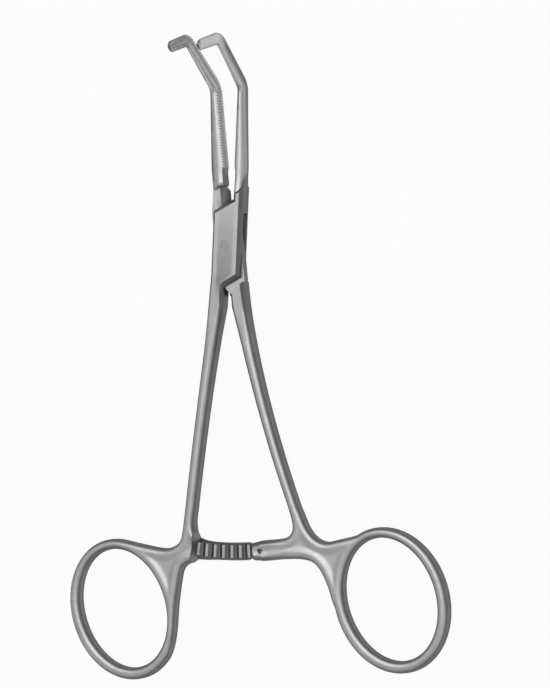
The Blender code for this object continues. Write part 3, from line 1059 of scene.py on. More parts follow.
        # 0 where the edge is a round crown, and 1 where it is the flat bevel of the box or an arm.
        flat, wide = 0.0, 1.0
        if not back:
            flat = progress(y, -self.crown_full, -self.crown_start)
            if -y > self.shank_foot:
                flat = progress(self.side.value * place.x, self.flat_arm, self.flat_arm_start)
                wide = self.arm_bevel
        reach = self.crown_reach + (self.edge_round - self.crown_reach) * flat
        slope = max(0.0, 1.0 - inset / reach)
        drop = self.crown_drop * (1.0 - math.sqrt(max(0.0, 1.0 - slope * slope)))
        bevel = wide * lock.bevel_drop * max(0.0, 1.0 - inset / (wide * lock.bevel_width))
        web = progress(-y, self.shank_foot, self.shank_foot + self.web_fade)
        share = progress(inset, reach, reach + self.dish_run)
        dish = self.dish_depth * web * share * share * (3.0 - 2.0 * share)
        return half - (drop + (bevel - drop) * flat) - dish


# Rows laid by Geometry Nodes


@dataclass(frozen=True)
class ToothRow:
    """Bars laid across a path, such as serrations or ratchet teeth."""

    pitch: float
    length: float
    root_width: float
    height: float
    crest_share: float
    end_share: float
    lean: float
    centre: float
    both: bool
    facing: tuple[float, float, float]

    INPUTS = (("Pitch", "NodeSocketFloat"), ("Bar Length", "NodeSocketFloat"),
              ("Root Width", "NodeSocketFloat"), ("Height", "NodeSocketFloat"),
              ("Crest Share", "NodeSocketFloat"), ("End Share", "NodeSocketFloat"),
              ("Lean", "NodeSocketFloat"), ("Row Centre", "NodeSocketFloat"),
              ("Both Rows", "NodeSocketBool"), ("Facing", "NodeSocketVector"),
              ("Material", "NodeSocketMaterial"))

    @classmethod
    def tree(cls) -> bpy.types.NodeTree:
        """Node tree that lays bars along a curve; it is built once.

        Returns:
            The tree.
        """
        ready = bpy.data.node_groups.get("tooth_row")
        if ready:
            return ready
        tree = bpy.data.node_groups.new("tooth_row", "GeometryNodeTree")
        tree.interface.new_socket("Geometry", in_out="INPUT", socket_type="NodeSocketGeometry")
        for name, kind in cls.INPUTS:
            tree.interface.new_socket(name, in_out="INPUT", socket_type=kind)
        tree.interface.new_socket("Geometry", in_out="OUTPUT", socket_type="NodeSocketGeometry")
        add = partial(add_node, tree)
        given = add("NodeGroupInput").outputs
        cube = add("GeometryNodeMeshCube", {"Size": (1.0, 1.0, 1.0)})
        position = add("GeometryNodeInputPosition").outputs["Position"]
        split = add("ShaderNodeSeparateXYZ", {0: position}).outputs

        def narrowed(share: bpy.types.NodeSocket, axis: str) -> bpy.types.NodeSocket:
            """Coordinate that shrinks towards the crest.

            Args:
                share: The share of itself that it shrinks to.
                axis: Which coordinate.

            Returns:
                The shrunk coordinate.
            """
            reach = add("ShaderNodeMapRange", {"Value": split["Z"], "From Min": -0.5,
                                               "From Max": 0.5, "To Min": 1.0, "To Max": share})
            return combined(tree, "MULTIPLY", split[axis], reach.outputs["Result"])

        leaning = combined(tree, "MULTIPLY_ADD", split["Z"], given["Lean"],
                           narrowed(given["Crest Share"], "Y"))
        shaped = add("ShaderNodeCombineXYZ", {"X": narrowed(given["End Share"], "X"),
                                              "Y": leaning, "Z": split["Z"]})
        moved = add("GeometryNodeSetPosition", {"Geometry": cube.outputs["Mesh"],
                                                "Position": shaped.outputs[0]})
        size = add("ShaderNodeCombineXYZ", {"X": given["Bar Length"], "Y": given["Root Width"],
                                            "Z": given["Height"]})
        lift = combined(tree, "MULTIPLY", given["Height"], 0.5)
        pair = add("GeometryNodeJoinGeometry")
        rows = []
        for way in (1.0, -1.0):
            centre = combined(tree, "MULTIPLY", given["Row Centre"], way)
            place = add("ShaderNodeCombineXYZ", {"X": centre, "Z": lift})
            bar = add("GeometryNodeTransform", {"Geometry": moved.outputs["Geometry"],
                                                "Translation": place.outputs[0],
                                                "Scale": size.outputs[0]})
            rows.append(bar.outputs["Geometry"])
            give_inputs(tree, pair, {"Geometry": rows[-1]})
        choice = add("GeometryNodeSwitch", {"Switch": given["Both Rows"], "False": rows[0],
                                            "True": pair.outputs["Geometry"]},
                     input_type="GEOMETRY")

        points = add("GeometryNodeCurveToPoints", {"Curve": given["Geometry"],
                                                   "Length": given["Pitch"]}, mode="LENGTH")
        turn = add("FunctionNodeAxesToRotation", {"Primary Axis": given["Facing"],
                                                  "Secondary Axis": points.outputs["Tangent"]},
                   primary_axis="Z", secondary_axis="Y")
        radius = add("GeometryNodeInputRadius").outputs["Radius"]
        width = add("ShaderNodeCombineXYZ", {"X": radius, "Y": 1.0, "Z": 1.0})
        laid = add("GeometryNodeInstanceOnPoints", {"Points": points.outputs["Points"],
                                                    "Instance": choice.outputs["Output"],
                                                    "Rotation": turn.outputs["Rotation"],
                                                    "Scale": width.outputs[0]})
        real = add("GeometryNodeRealizeInstances", {"Geometry": laid.outputs["Instances"]})
        dressed = add("GeometryNodeSetMaterial", {"Geometry": real.outputs["Geometry"],
                                                  "Material": given["Material"]})
        add("NodeGroupOutput", {"Geometry": dressed.outputs["Geometry"]})
        return tree

    def lay(self, name: str, path: Sequence[tuple[Vector, float]],
            material: bpy.types.Material) -> bpy.types.Object:
        """Lay the bars along a path.

        Args:
            name: Name of the piece.
            path: Points of the path, each with the width that a bar's length is a share of.
            material: The bars' material.

        Returns:
            The bars as one plain mesh.
        """
        curve = bpy.data.curves.new(name, "CURVE")
        curve.dimensions = "3D"
        spline = curve.splines.new("POLY")
        spline.points.add(len(path) - 1)
        for point, (place, width) in zip(spline.points, path):
            point.co = (*place, 1.0)
            point.radius = width
        item = add_object(name, curve)
        tree = self.tree()
        modifier = item.modifiers.new("tooth_row", "NODES")
        modifier.node_group = tree
        values = dict(zip((label for label, _ in self.INPUTS), (
            self.pitch, self.length, self.root_width, self.height, self.crest_share,
            self.end_share, self.lean, self.centre, self.both, self.facing, material)))
        for socket in tree.interface.items_tree:
            if socket.in_out == "INPUT" and socket.name in values:
                modifier[socket.identifier] = values[socket.name]
        return baked(item)


# Finishes


def group_tree(name: str, inputs: Sequence[tuple[str, float]],
               outputs: Sequence[str]) -> bpy.types.NodeTree:
    """New shader node group.

    Args:
        name: Name of the group.
        inputs: Name and default value of each input.
        outputs: Name of each output.

    Returns:
        The group.
    """
    tree = bpy.data.node_groups.new(name, "ShaderNodeTree")
    for label, value in inputs:
        socket = tree.interface.new_socket(label, in_out="INPUT", socket_type="NodeSocketFloat")
        socket.default_value = value
    for label in outputs:
        tree.interface.new_socket(label, in_out="OUTPUT", socket_type="NodeSocketFloat")
    return tree


def satin_grain_group() -> bpy.types.NodeTree:
    """Fine grain of polished steel, and a slow cloudiness.

    Returns:
        The node group.
    """
    ready = bpy.data.node_groups.get("satin_grain")
    if ready:
        return ready
    tree = group_tree("satin_grain", (("Grain Scale", 9000.0), ("Cloud Scale", 260.0),
                                      ("Stretch", 0.12)), ("Grain", "Cloud"))
    add = partial(add_node, tree)
    given = add("NodeGroupInput").outputs
    place = add("ShaderNodeTexCoord").outputs["Object"]
    stretch = add("ShaderNodeCombineXYZ", {"X": 1.0, "Y": given["Stretch"], "Z": 1.0})
    stretched = add("ShaderNodeMapping", {"Vector": place, "Scale": stretch.outputs[0]})
    grain = add("ShaderNodeTexNoise", {"Vector": stretched.outputs[0],
                                       "Scale": given["Grain Scale"], "Detail": 2.0})
    cloud = add("ShaderNodeTexNoise", {"Vector": place, "Scale": given["Cloud Scale"],
                                       "Detail": 4.0})
    add("NodeGroupOutput", {"Grain": grain.outputs["Fac"], "Cloud": cloud.outputs["Fac"]})
    return tree


def facing_shade_group() -> bpy.types.NodeTree:
    """Painted shade of steel: brighter where the surface faces its front or back, and darker on its
    sides.

    Returns:
        The node group.
    """
    ready = bpy.data.node_groups.get("facing_shade")
    if ready:
        return ready
    tree = group_tree("facing_shade", (("Facing", 1.0), ("Cloud", 0.5), ("Side Tone", 0.12),
                                      ("Face Tone", 0.6), ("Dark Below", 0.5),
                                      ("Bright Above", 1.0)), ("Tone", "Mask"))
    add = partial(add_node, tree)
    given = add("NodeGroupInput").outputs
    mask = add("ShaderNodeMapRange", {"Value": given["Facing"], "From Min": given["Dark Below"],
                                      "From Max": given["Bright Above"]},
               interpolation_type="SMOOTHSTEP").outputs["Result"]
    tone = add("ShaderNodeMapRange", {"Value": mask, "To Min": given["Side Tone"],
                                      "To Max": given["Face Tone"]}).outputs["Result"]
    drift = add("ShaderNodeMapRange", {"Value": given["Cloud"], "From Min": 0.3, "From Max": 0.7,
                                       "To Min": 0.93, "To Max": 1.05}).outputs["Result"]
    add("NodeGroupOutput", {"Tone": combined(tree, "MULTIPLY", tone, drift), "Mask": mask})
    return tree


@dataclass(frozen=True)
class SteelFinish:
    """Satin steel with painted shade: faces that look to the front or back are painted brighter
    than its sides.
    """

    name: str
    side_tone: float
    face_tone: float
    dark_below: float
    bright_above: float
    side_roughness: float
    face_roughness: float
    grain_scale: float
    grain_height: float
    stretch: float
    rim_tint: float = 0.3

    def material(self) -> bpy.types.Material:
        """Material of this finish; it is built once.

        Returns:
            The material.
        """
        ready = bpy.data.materials.get(self.name)
        if ready:
            return ready
        material = bpy.data.materials.new(self.name)
        material.use_nodes = True
        tree = material.node_tree
        add = partial(add_node, tree)
        grain = add("ShaderNodeGroup", {"Grain Scale": self.grain_scale,
                                        "Stretch": self.stretch}, node_tree=satin_grain_group())
        # Painted shade: the base colour is brighter where the stored facing is high and darker on
        # the sides.
        facing = add("ShaderNodeAttribute", attribute_name="facing").outputs["Fac"]
        ground = add("ShaderNodeGroup", {"Facing": facing, "Cloud": grain.outputs["Cloud"],
                                         "Side Tone": self.side_tone,
                                         "Face Tone": self.face_tone,
                                         "Dark Below": self.dark_below,
                                         "Bright Above": self.bright_above},
                     node_tree=facing_shade_group()).outputs
        colour = add("ShaderNodeCombineColor", {channel: ground["Tone"]
                                                for channel in ("Red", "Green", "Blue")})
        rough = add("ShaderNodeMapRange", {"Value": ground["Mask"],
                                           "To Min": self.side_roughness,
                                           "To Max": self.face_roughness})
        bump = add("ShaderNodeBump", {"Height": grain.outputs["Grain"], "Strength": 1.0,
                                      "Distance": self.grain_height})
        give_inputs(tree, tree.nodes["Principled BSDF"], {
            "Base Color": colour.outputs[0], "Metallic": 1.0,
            "Roughness": rough.outputs["Result"],
            "Specular Tint": (self.rim_tint,) * 3 + (1.0,), "Normal": bump.outputs["Normal"]})
        return material


# Each finish paints shade by facing with its own side and face tones: the serrations and the pin
# lighter on their sides, the ratchet darker.
SATIN = SteelFinish("satin_steel_forged", side_tone=0.21, face_tone=0.64, dark_below=0.7,
                    bright_above=0.97, side_roughness=0.42, face_roughness=0.38,
                    grain_scale=9000.0, grain_height=0.004 * MM, stretch=0.3)
SERRATED = SteelFinish("satin_steel_serrated", side_tone=0.33, face_tone=0.58, dark_below=0.0,
                       bright_above=1.0, side_roughness=0.4, face_roughness=0.36,
                       grain_scale=9000.0, grain_height=0.003 * MM, stretch=1.0)
CRESTED = SteelFinish("satin_steel_ratchet", side_tone=0.17, face_tone=0.62, dark_below=0.9,
                      bright_above=0.98, side_roughness=0.42, face_roughness=0.38,
                      grain_scale=9000.0, grain_height=0.004 * MM, stretch=0.3)
PIN = SteelFinish("pin_steel_ground", side_tone=0.3, face_tone=0.44, dark_below=0.0,
                  bright_above=1.0, side_roughness=0.42, face_roughness=0.38,
                  grain_scale=9000.0, grain_height=0.004 * MM, stretch=0.3)


# The clamp's pieces


@dataclass
class Half:
    """What both halves share: the lock, the jaw, the ratchet and how a piece is finished."""

    lock: BoxLock
    jaw: JawShape
    ratchet: Ratchet
    handle: Handle
    body: Body
    node: str
    turned: float = 0.0
    # Painted light on the jaws: their sides lifted brighter, their sides that look to -X darker,
    # and their tips painted to one tone, brighter where it looks to +X.
    jaw_painted_light: float = 0.72
    edge_painted_light: float = 0.76
    tip_painted_light: float = 0.2
    tip_height: float = 12.0 * MM
    tip_fade: float = 4.0 * MM
    jaw_fade: float = 2.5 * MM
    edge_normal: float = -0.4
    sharp: float = 32.0
    row_sharp: float = 20.0
    bend_steps: int = 60
    row_steps: int = 80
    side_steps: int = 12

    def finish(self, item: bpy.types.Object, finish: SteelFinish, slot: Slot,
               sharp: float) -> bpy.types.Object:
        """Shade a piece smooth, store its painted light and shade, turn it and let it ride.

        Args:
            item: The piece, with a plain mesh.
            finish: Its finish.
            slot: Its material slot; it is not used.
            sharp: Angle in degrees past which an edge stays sharp.

        Returns:
            The finished piece.
        """
        mesh = item.data
        mesh.materials.clear()
        mesh.materials.append(finish.material())
        mesh.shade_smooth()
        mesh.set_sharp_from_angle(angle=math.radians(sharp))
        even = item.modifiers.new("even_normals", "WEIGHTED_NORMAL")
        even.keep_sharp = True
        item = baked(item)
        self.mark_facing(item.data)
        item.data.transform(Matrix.Rotation(self.turned, 4, "Z"))
        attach(item, self.body.value)
        return item

    @staticmethod
    def cut(blank: bpy.types.Object, tools: Sequence[bpy.types.Object]) -> bpy.types.Object:
        """Join the jaw to a blank and cut the other tools out of it, in their order.

        Args:
            blank: The forged blank.
            tools: The jaw and the cutters.

        Returns:
            The half's plain mesh.
        """
        for tool in tools:
            boolean(blank, tool, "UNION" if tool.name.startswith("jaw") else "DIFFERENCE")
        return baked(blank, tools)

    def mark_facing(self, mesh: bpy.types.Mesh) -> None:
        """Store at each corner its painted shade: how far the surface faces the piece's own front
        or back.

        Args:
            mesh: The piece's mesh, before it is turned.
        """
        before_bend = 4.0 * MM
        runs = even_steps(self.jaw.first_bend_start - before_bend, self.jaw.length(),
                          self.bend_steps)
        path = [self.jaw.place(run, self.lock.middle) for run in runs]
        ways = []
        for vert in mesh.vertices:
            way = 0.0
            if vert.co.y > path[0][0]:
                way = min(path, key=lambda step: (vert.co.y - step[0]) ** 2
                          + (vert.co.z - step[1]) ** 2)[2]
            ways.append(way)
        values = []
        for corner, normal in zip(mesh.loops, mesh.corner_normals):
            way = ways[corner.vertex_index]
            up = normal.vector.z * math.cos(way) - normal.vector.y * math.sin(way)
            place = mesh.vertices[corner.vertex_index].co
            values.append(self.painted_light(place, normal.vector, min(1.0, abs(up))))
        stored = mesh.attributes.new("facing", "FLOAT", "CORNER")
        stored.data.foreach_set("value", values)

    def painted_light(self, place: Vector, normal: Vector, facing: float) -> float:
        """Painted light and shade at a place, from how far it faces the front.

        Args:
            place: The place.
            normal: Its normal.
            facing: How far it faces the front or the back.

        Returns:
            A facing with the jaws' painted light and shade worked in.
        """
        foot = self.lock.shoulder_height
        jaw = progress(place.y, foot, foot + self.jaw_fade)
        tip = progress(place.z, self.tip_height, self.tip_height + self.tip_fade)
        # Painted shade: where the jaw looks to -X, its tone is held darker.
        if jaw > 0.5 and tip < 0.5 and normal.x < self.edge_normal:
            return self.edge_painted_light
        # Painted light: the jaw's sides are lifted brighter, and its tip is painted to one tone,
        # brighter where it looks to +X.
        value = facing + self.jaw_painted_light * (1.0 - facing) * jaw
        return value + (self.edge_painted_light + self.tip_painted_light * max(0.0, normal.x) - value) * tip

    def arm_path(self, first: float, last: float, height: float) -> list[tuple[Vector, float]]:
        """Middle of a ratchet arm's toothed stretch.

        Args:
            first: Where it starts, measured along the arm from the middle line.
            last: Where it ends.
            height: Its height.

        Returns:
            Each point with a width of 1.
        """
        radius = self.ratchet.radius
        return [(Vector((radius * math.sin(place / radius), -radius * math.cos(place / radius),
                         height)), 1.0) for place in even_steps(first, last, self.row_steps)]


@dataclass
class BoxHalf(Half):
    """The female half: left ring, left shank, box and right jaw."""

    arm_teeth: int = 7
    first_tooth: float = 0.52
    jaw_thicknesses: tuple[float, float, float] = (2.6 * MM, 1.6 * MM, 1.0 * MM)
    jaw_relief: float = 0.27 * MM
    strip_width: float = 1.15 * MM
    wall_ramp: Point = (0.8 * MM, 2.2 * MM)
    # Painted shade on the arm's floor and on the box plates, whose middle is darker than the strips
    # along their edges.
    arm_painted_light: float = 0.8
    plate_painted_shade: float = 0.86
    painted_shade_fall: float = 0.06
    strip_fade: float = 0.5 * MM
    plate_shade_reach: float = 13.0 * MM
    plate_shade_fade: float = 5.0 * MM
    blank_spare: float = 3.0 * MM
    under_cut: float = 1.2 * MM

    def outline(self) -> list[Vector]:
        """Closed outline of the blank.

        Returns:
            Its points, drawn outwards.
        """
        lock, handle = self.lock, self.handle
        top = lock.shoulder_height + self.blank_spare
        points = [Vector((lock.outer, y))
                  for y in even_steps(top, -0.5 * handle.shank_top, self.side_steps)]
        points += handle.outline()
        shank_side = lock.parting + lock.shank_clearance
        slant = math.tan(lock.plate_slant)
        shank_end = self.plate_level() - slant * shank_side
        points += [Vector((shank_side, y)) for y in
                   even_steps(-handle.shank_top, shank_end, self.side_steps // 2)[1:]]
        low = self.plate_level() + slant * lock.inner
        points += [Vector((-lock.inner, y)) for y in even_steps(low, top, self.side_steps)]
        return points

    def plate_level(self) -> float:
        """Height at which the line of the lower plate end crosses the middle line."""
        lock = self.lock
        return math.tan(lock.plate_slant) * lock.jaw_side - lock.plate_end

    def build(self) -> bpy.types.Object:
        """Forged half with its jaw, its slot and its bore.

        Returns:
            The finished half.
        """
        lock, jaw = self.lock, self.jaw
        blank = self.handle.blank("box_half_steel", self.outline(), lock)
        reach = 4.0 * lock.outer
        jaw_side, end = lock.jaw_side, -self.plate_level()
        slant, seat = math.tan(lock.plate_slant), math.tan(lock.jaw_seat_slant)
        shank_side = lock.cut_spare - lock.parting - lock.shank_clearance
        bottom = -self.handle.shank_top - self.under_cut

        def jaw_seat(grown: float) -> Sequence[Point]:
            """Polygon above the upper plate end and the jaw's seat.

            Args:
                grown: How far it is grown towards the plate.

            Returns:
                Its corners.
            """
            side = jaw_side + grown
            level = end + lock.upper_end_lift - grown / math.cos(lock.plate_slant)
            corner = (lock.jaw_seat + lock.upper_end_lift
                      - grown / math.cos(lock.jaw_seat_slant) + seat * grown)
            return ((-reach, level - slant * reach), (side, level + slant * side), (side, corner),
                    (reach, corner + seat * (reach - side)), (reach, 5.0 * lock.jaw_seat),
                    (-reach, 5.0 * lock.jaw_seat))

        def under_plates(grown: float) -> Sequence[Point]:
            """Polygon under the lower plate end.

            Args:
                grown: How far it is grown towards the plate.

            Returns:
                Its corners.
            """
            level = -end + (grown - lock.end_ease) / math.cos(lock.plate_slant)
            return ((shank_side, level + slant * shank_side), (shank_side, bottom),
                    (reach, bottom), (reach, level + slant * reach))

        bore = lock.pin_radius + lock.pin_fit
        tools = [
            lock.chamfered_cut("over_jaw_seat", jaw_seat),
            lock.chamfered_cut("under_plates", under_plates),
            jaw.loft("jaw", 1, jaw.foot, 0.0, 0.0, lock, self.jaw_thicknesses, self.jaw_relief,
                     jaw.female_face),
            lock.slot(), cone("plate_bore", bore, bore, -lock.depth, 2.0 * lock.depth),
            self.arm_cutter()]
        return self.finish(self.cut(blank, tools), SATIN, Slot.SATIN, self.sharp)

    def painted_light(self, place: Vector, normal: Vector, facing: float) -> float:
        """Painted light of the jaw, and the plates' painted shade: a darker middle between brighter
        strips.

        Args:
            place: The place.
            normal: Its normal.
            facing: How far it faces the front or the back.

        Returns:
            The facing that its tone is read from.
        """
        # Painted shade: the arm's lowered floor between its teeth is held darker.
        on_arm = place.x > self.wall() and place.y < -self.handle.shank_foot
        if on_arm and 0.0 < place.z < self.lock.middle - self.ratchet.tooth:
            return min(facing, self.arm_painted_light)
        # Painted shade: the plates' middle is darker than their edge strips, and darker the lower
        # it lies.
        reach = self.lock.outer - abs(place.x)
        across = progress(reach, self.strip_width, self.strip_width + self.strip_fade)
        along = progress(abs(place.y), self.plate_shade_reach, self.plate_shade_reach - self.plate_shade_fade)
        fall = self.plate_painted_shade + self.painted_shade_fall * (place.y / self.lock.plate_end)
        plate_shade = 1.0 - (1.0 - min(1.0, fall)) * across * along
        return super().painted_light(place, normal, facing) * plate_shade

    def arm_cutter(self) -> bpy.types.Object:
        """Cutter that lowers the arm to the floor of its teeth and bevels its edges.

        Returns:
            The cutter.
        """
        ratchet, lock = self.ratchet, self.lock
        floor = lock.middle - 0.5 * ratchet.gap - ratchet.tooth
        slope = ratchet.bevel_drop / ratchet.bevel
        upper, lower = self.handle.arm_edges
        inner, outer = upper - ratchet.cut_above, lower + ratchet.cut_below
        section = ((inner, 2.0 * lock.depth),
                   (inner, floor - slope * (ratchet.cut_above + ratchet.bevel)),
                   (upper + ratchet.bevel, floor), (lower - ratchet.bevel, floor),
                   (outer, floor - slope * (ratchet.cut_below + ratchet.bevel)),
                   (outer, 2.0 * lock.depth))
        return sector("arm_floor", section, self.wall(), 2.0 * self.handle.arm_reach,
                      ratchet.radius, self.wall_ramp)

    def wall(self) -> float:
        """Place along the arm where its cut starts, measured to the right."""
        return self.handle.arm_wall - self.handle.shank_middle(-self.handle.shank_foot)

    def teeth(self) -> bpy.types.Object:
        """Saw teeth along the arm.

        Returns:
            The finished piece.
        """
        ratchet = self.ratchet
        floor = self.lock.middle - 0.5 * ratchet.gap - ratchet.tooth
        row = ToothRow(pitch=ratchet.pitch, length=3.1 * MM, root_width=0.98 * ratchet.pitch,
                       height=ratchet.tooth, crest_share=0.3, end_share=0.9, lean=0.06,
                       centre=0.0, both=False, facing=(0.0, 0.0, 1.0))
        first = self.wall() + self.first_tooth * ratchet.pitch
        # The bars spread over the whole path, so it ends just past the last of them.
        last = first + (self.arm_teeth - 0.98) * ratchet.pitch
        bars = row.lay("box_half_ratchet_teeth", self.arm_path(first, last, floor - ratchet.sink),
                       CRESTED.material())
        return self.finish(bars, CRESTED, Slot.SATIN, self.row_sharp)

    def ridge(self) -> bpy.types.Object:
        """Toothed ridge that enters the other jaw's groove.

        Returns:
            The finished piece.
        """
        jaw = self.jaw
        row = ToothRow(pitch=jaw.tooth_pitch, length=0.36, root_width=0.96 * jaw.tooth_pitch,
                       height=jaw.ridge_height, crest_share=0.25, end_share=0.8, lean=0.0,
                       centre=0.0, both=False, facing=(-1.0, 0.0, 0.0))
        floor = jaw.face_offset + 0.5 * jaw.face_gap + jaw.sink
        bars = row.lay("box_half_jaw_ridge", jaw.path(self.lock, floor), SERRATED.material())
        return self.finish(bars, SERRATED, Slot.SATIN, self.row_sharp)


@dataclass
class MaleHalf(Half):
    """The male half: right ring, right shank, tongue and left jaw."""

    arm_teeth: int = 3
    jaw_thicknesses: tuple[float, float, float] = (3.5 * MM, 2.1 * MM, 1.0 * MM)
    jaw_relief: float = 0.45 * MM
    foot_chamfer: float = 0.4 * MM
    slope_start: float = -0.75 * MM
    slope: float = 1.0
    slope_run: Point = (6.8 * MM, 13.0 * MM)
    blank_spare: float = 2.0 * MM
    tooth_margin: float = 0.9 * MM
    # Painted light and shade: set tones on the jaw's serrated side and the tongue's slope, a darker
    # band on the tongue beside the plate's end, and the dimple darkest.
    face_painted_light: float = 0.82
    face_normal: float = 0.7
    covered_painted_light: float = 0.75
    covered_band: float = 0.35 * MM
    slope_painted_light: float = 0.86
    slope_normal: float = 0.5
    slope_stretch: Point = (6.6 * MM, 13.0 * MM)
    flat_facing: float = 0.9
    dimple_radius: float = 0.45 * MM
    dimple_shade_radius: float = 0.495 * MM
    dimple_inset: float = 2.6 * MM
    dimple_depth: float = 0.45 * MM

    def outline(self) -> list[Vector]:
        """Closed outline of the blank, tongue included.

        Returns:
            Its points, drawn outwards.
        """
        lock, handle = self.lock, self.handle
        edge = lock.parting - lock.shank_clearance
        left, right = lock.tongue_inside_jaw
        half = lock.tongue_half_width
        top = lock.shoulder_height + self.blank_spare
        points = [Vector((right, top)), Vector((right, lock.shoulder_height)),
                  Vector(lock.tongue_tip), Vector((half, lock.flank_low)),
                  Vector((half, -0.75 * handle.shank_top))]
        points += handle.outline()
        return points + [Vector((lock.heel_ease - edge, -lock.flank_high)),
                         Vector((-half, -lock.flank_low)), Vector((-half, lock.flank_low)),
                         Vector((left, lock.shoulder_height)), Vector((left, top))]

    def build(self) -> bpy.types.Object:
        """Forged half with its jaw and its tongue.

        Returns:
            The finished half.
        """
        lock, jaw = self.lock, self.jaw
        blank = self.handle.blank("male_half_steel", self.outline(), lock)
        reach = 4.0 * lock.outer
        half, heel = 0.5 * lock.tongue_thickness, math.tan(lock.heel_slant)
        corners = ((-reach, -lock.heel_height - heel * reach),
                   (reach, -lock.heel_height + heel * reach),
                   (reach, 3.0 * lock.shoulder_height), (-reach, 3.0 * lock.shoulder_height))
        bore = lock.pin_radius + lock.pin_running
        tools = [
            prism("front_of_tongue", corners, lock.middle + half, 2.0 * lock.depth),
            prism("back_of_tongue", corners, -lock.depth, lock.middle - half),
            jaw.loft("jaw", -1, lock.shoulder_height, math.tan(lock.shoulder_slant),
                     self.foot_chamfer, lock, self.jaw_thicknesses, self.jaw_relief,
                     jaw.male_face),
            cone("tongue_bore", bore, bore, -lock.depth, 2.0 * lock.depth),
            self.tongue_slope(), *self.arm_cutters(), self.dimple()]
        return self.finish(self.cut(blank, tools), SATIN, Slot.SATIN, self.sharp)

    def tongue_slope(self) -> bpy.types.Object:
        """Cutter that slopes the tongue's tip away beside the jaw's foot.

        Returns:
            The cutter.
        """
        lock, spare = self.lock, 1.0 * MM
        start, front = self.slope_start, lock.middle + 0.5 * lock.tongue_thickness
        reach = lock.tongue_half_width + spare
        section = ((start - spare, front + spare), (start, front),
                   (reach, front - self.slope * (reach - start)), (reach, front + spare))
        return lofted("tongue_slope", [[Vector((x, y, z)) for x, z in section]
                                       for y in self.slope_run])

    def painted_light(self, place: Vector, normal: Vector, facing: float) -> float:
        """Painted light of the jaw and its face, and painted shade on the tongue where the box
        covers it.

        Args:
            place: The place.
            normal: Its normal.
            facing: How far it faces the front or the back.

        Returns:
            The facing that its tone is read from.
        """
        lock = self.lock
        # Painted tones on the jaw's serrated side and on the tongue's slope.
        if place.y > self.jaw.teeth_start and normal.x > self.face_normal:
            return self.face_painted_light
        low, high = self.slope_stretch
        if low < place.y < high and normal.x > self.slope_normal:
            return self.slope_painted_light
        # Painted shade: the dimple is darkest.
        if (Vector(place.xy) - self.dimple_place()).length < self.dimple_shade_radius:
            return 0.0
        if abs(place.y) > lock.shoulder_height or facing < self.flat_facing:
            return super().painted_light(place, normal, facing)
        seen = Matrix.Rotation(self.turned, 2) @ Vector(place.xy)
        if seen.y < 0.0:
            return facing
        # Painted shadow: the tongue is darker in a band along the plate's end and where the plate
        # covers it.
        slant = math.tan(lock.plate_slant)
        level = lock.plate_end + lock.upper_end_lift + slant * (seen.x - lock.jaw_side)
        cover = (seen.y - level) * math.cos(lock.plate_slant)
        return facing * (self.covered_painted_light if cover < self.covered_band else 1.0)

    def toothed_stretch(self) -> Point:
        """Where the arm's teeth start and end."""
        start = -self.handle.arm_reach + self.tooth_margin
        return start, start + self.arm_teeth * self.ratchet.pitch

    def arm_cutters(self) -> list[bpy.types.Object]:
        """Cutters that thin the arm from behind and lower the floor of its teeth.

        Returns:
            The two cutters.
        """
        ratchet, lock = self.ratchet, self.lock
        face = lock.middle + 0.5 * ratchet.gap
        upper, lower = self.handle.arm_edges
        inner, outer = upper - ratchet.cut_above, lower + ratchet.cut_below
        thin = ((inner, -lock.depth), (outer, -lock.depth), (outer, face), (inner, face))
        low, high = upper + ratchet.bevel, lower - ratchet.bevel
        floor = ((low, 0.0), (high, 0.0), (high, face + ratchet.tooth), (low, face + ratchet.tooth))
        wall = self.handle.shank_middle(-self.handle.shank_foot) - self.handle.arm_wall
        return [sector("arm_back", thin, -4.0 * self.handle.arm_reach, wall, ratchet.radius),
                sector("arm_tooth_floor", floor, *self.toothed_stretch(), ratchet.radius)]

    def dimple_place(self) -> Vector:
        """Middle of the dimple near the arm's tip."""
        inner, outer = self.handle.arm_edges
        return arc_point(0.5 * (inner + outer), self.dimple_inset - self.handle.arm_reach)

    def dimple(self) -> bpy.types.Object:
        """Cutter for the dimple near the arm's tip.

        Returns:
            The cutter.
        """
        place, radius, depth = self.dimple_place(), self.dimple_radius, self.dimple_depth
        surface = self.lock.middle + 0.5 * self.handle.depth_at(place.y, self.lock.depth)
        return cone("dimple", 0.5 * radius, 1.5 * radius, surface - depth, surface + depth,
                    (place.x, place.y), 48)

    def teeth(self) -> bpy.types.Object:
        """Saw teeth behind the arm.

        Returns:
            The finished piece.
        """
        ratchet = self.ratchet
        start, end = self.toothed_stretch()
        row = ToothRow(pitch=ratchet.pitch, length=self.handle.arm_width - 2.0 * ratchet.bevel,
                       root_width=0.96 * ratchet.pitch, height=ratchet.tooth, crest_share=0.4,
                       end_share=1.0, lean=0.06, centre=0.0, both=False,
                       facing=(0.0, 0.0, -1.0))
        height = self.lock.middle + 0.5 * ratchet.gap + ratchet.tooth
        # From the middle of the first tooth to just past the middle of the last one.
        path = self.arm_path(start + 0.5 * ratchet.pitch, end - 0.45 * ratchet.pitch, height)
        bars = row.lay("male_half_ratchet_teeth", path, SATIN.material())
        return self.finish(bars, SATIN, Slot.SATIN, self.row_sharp)

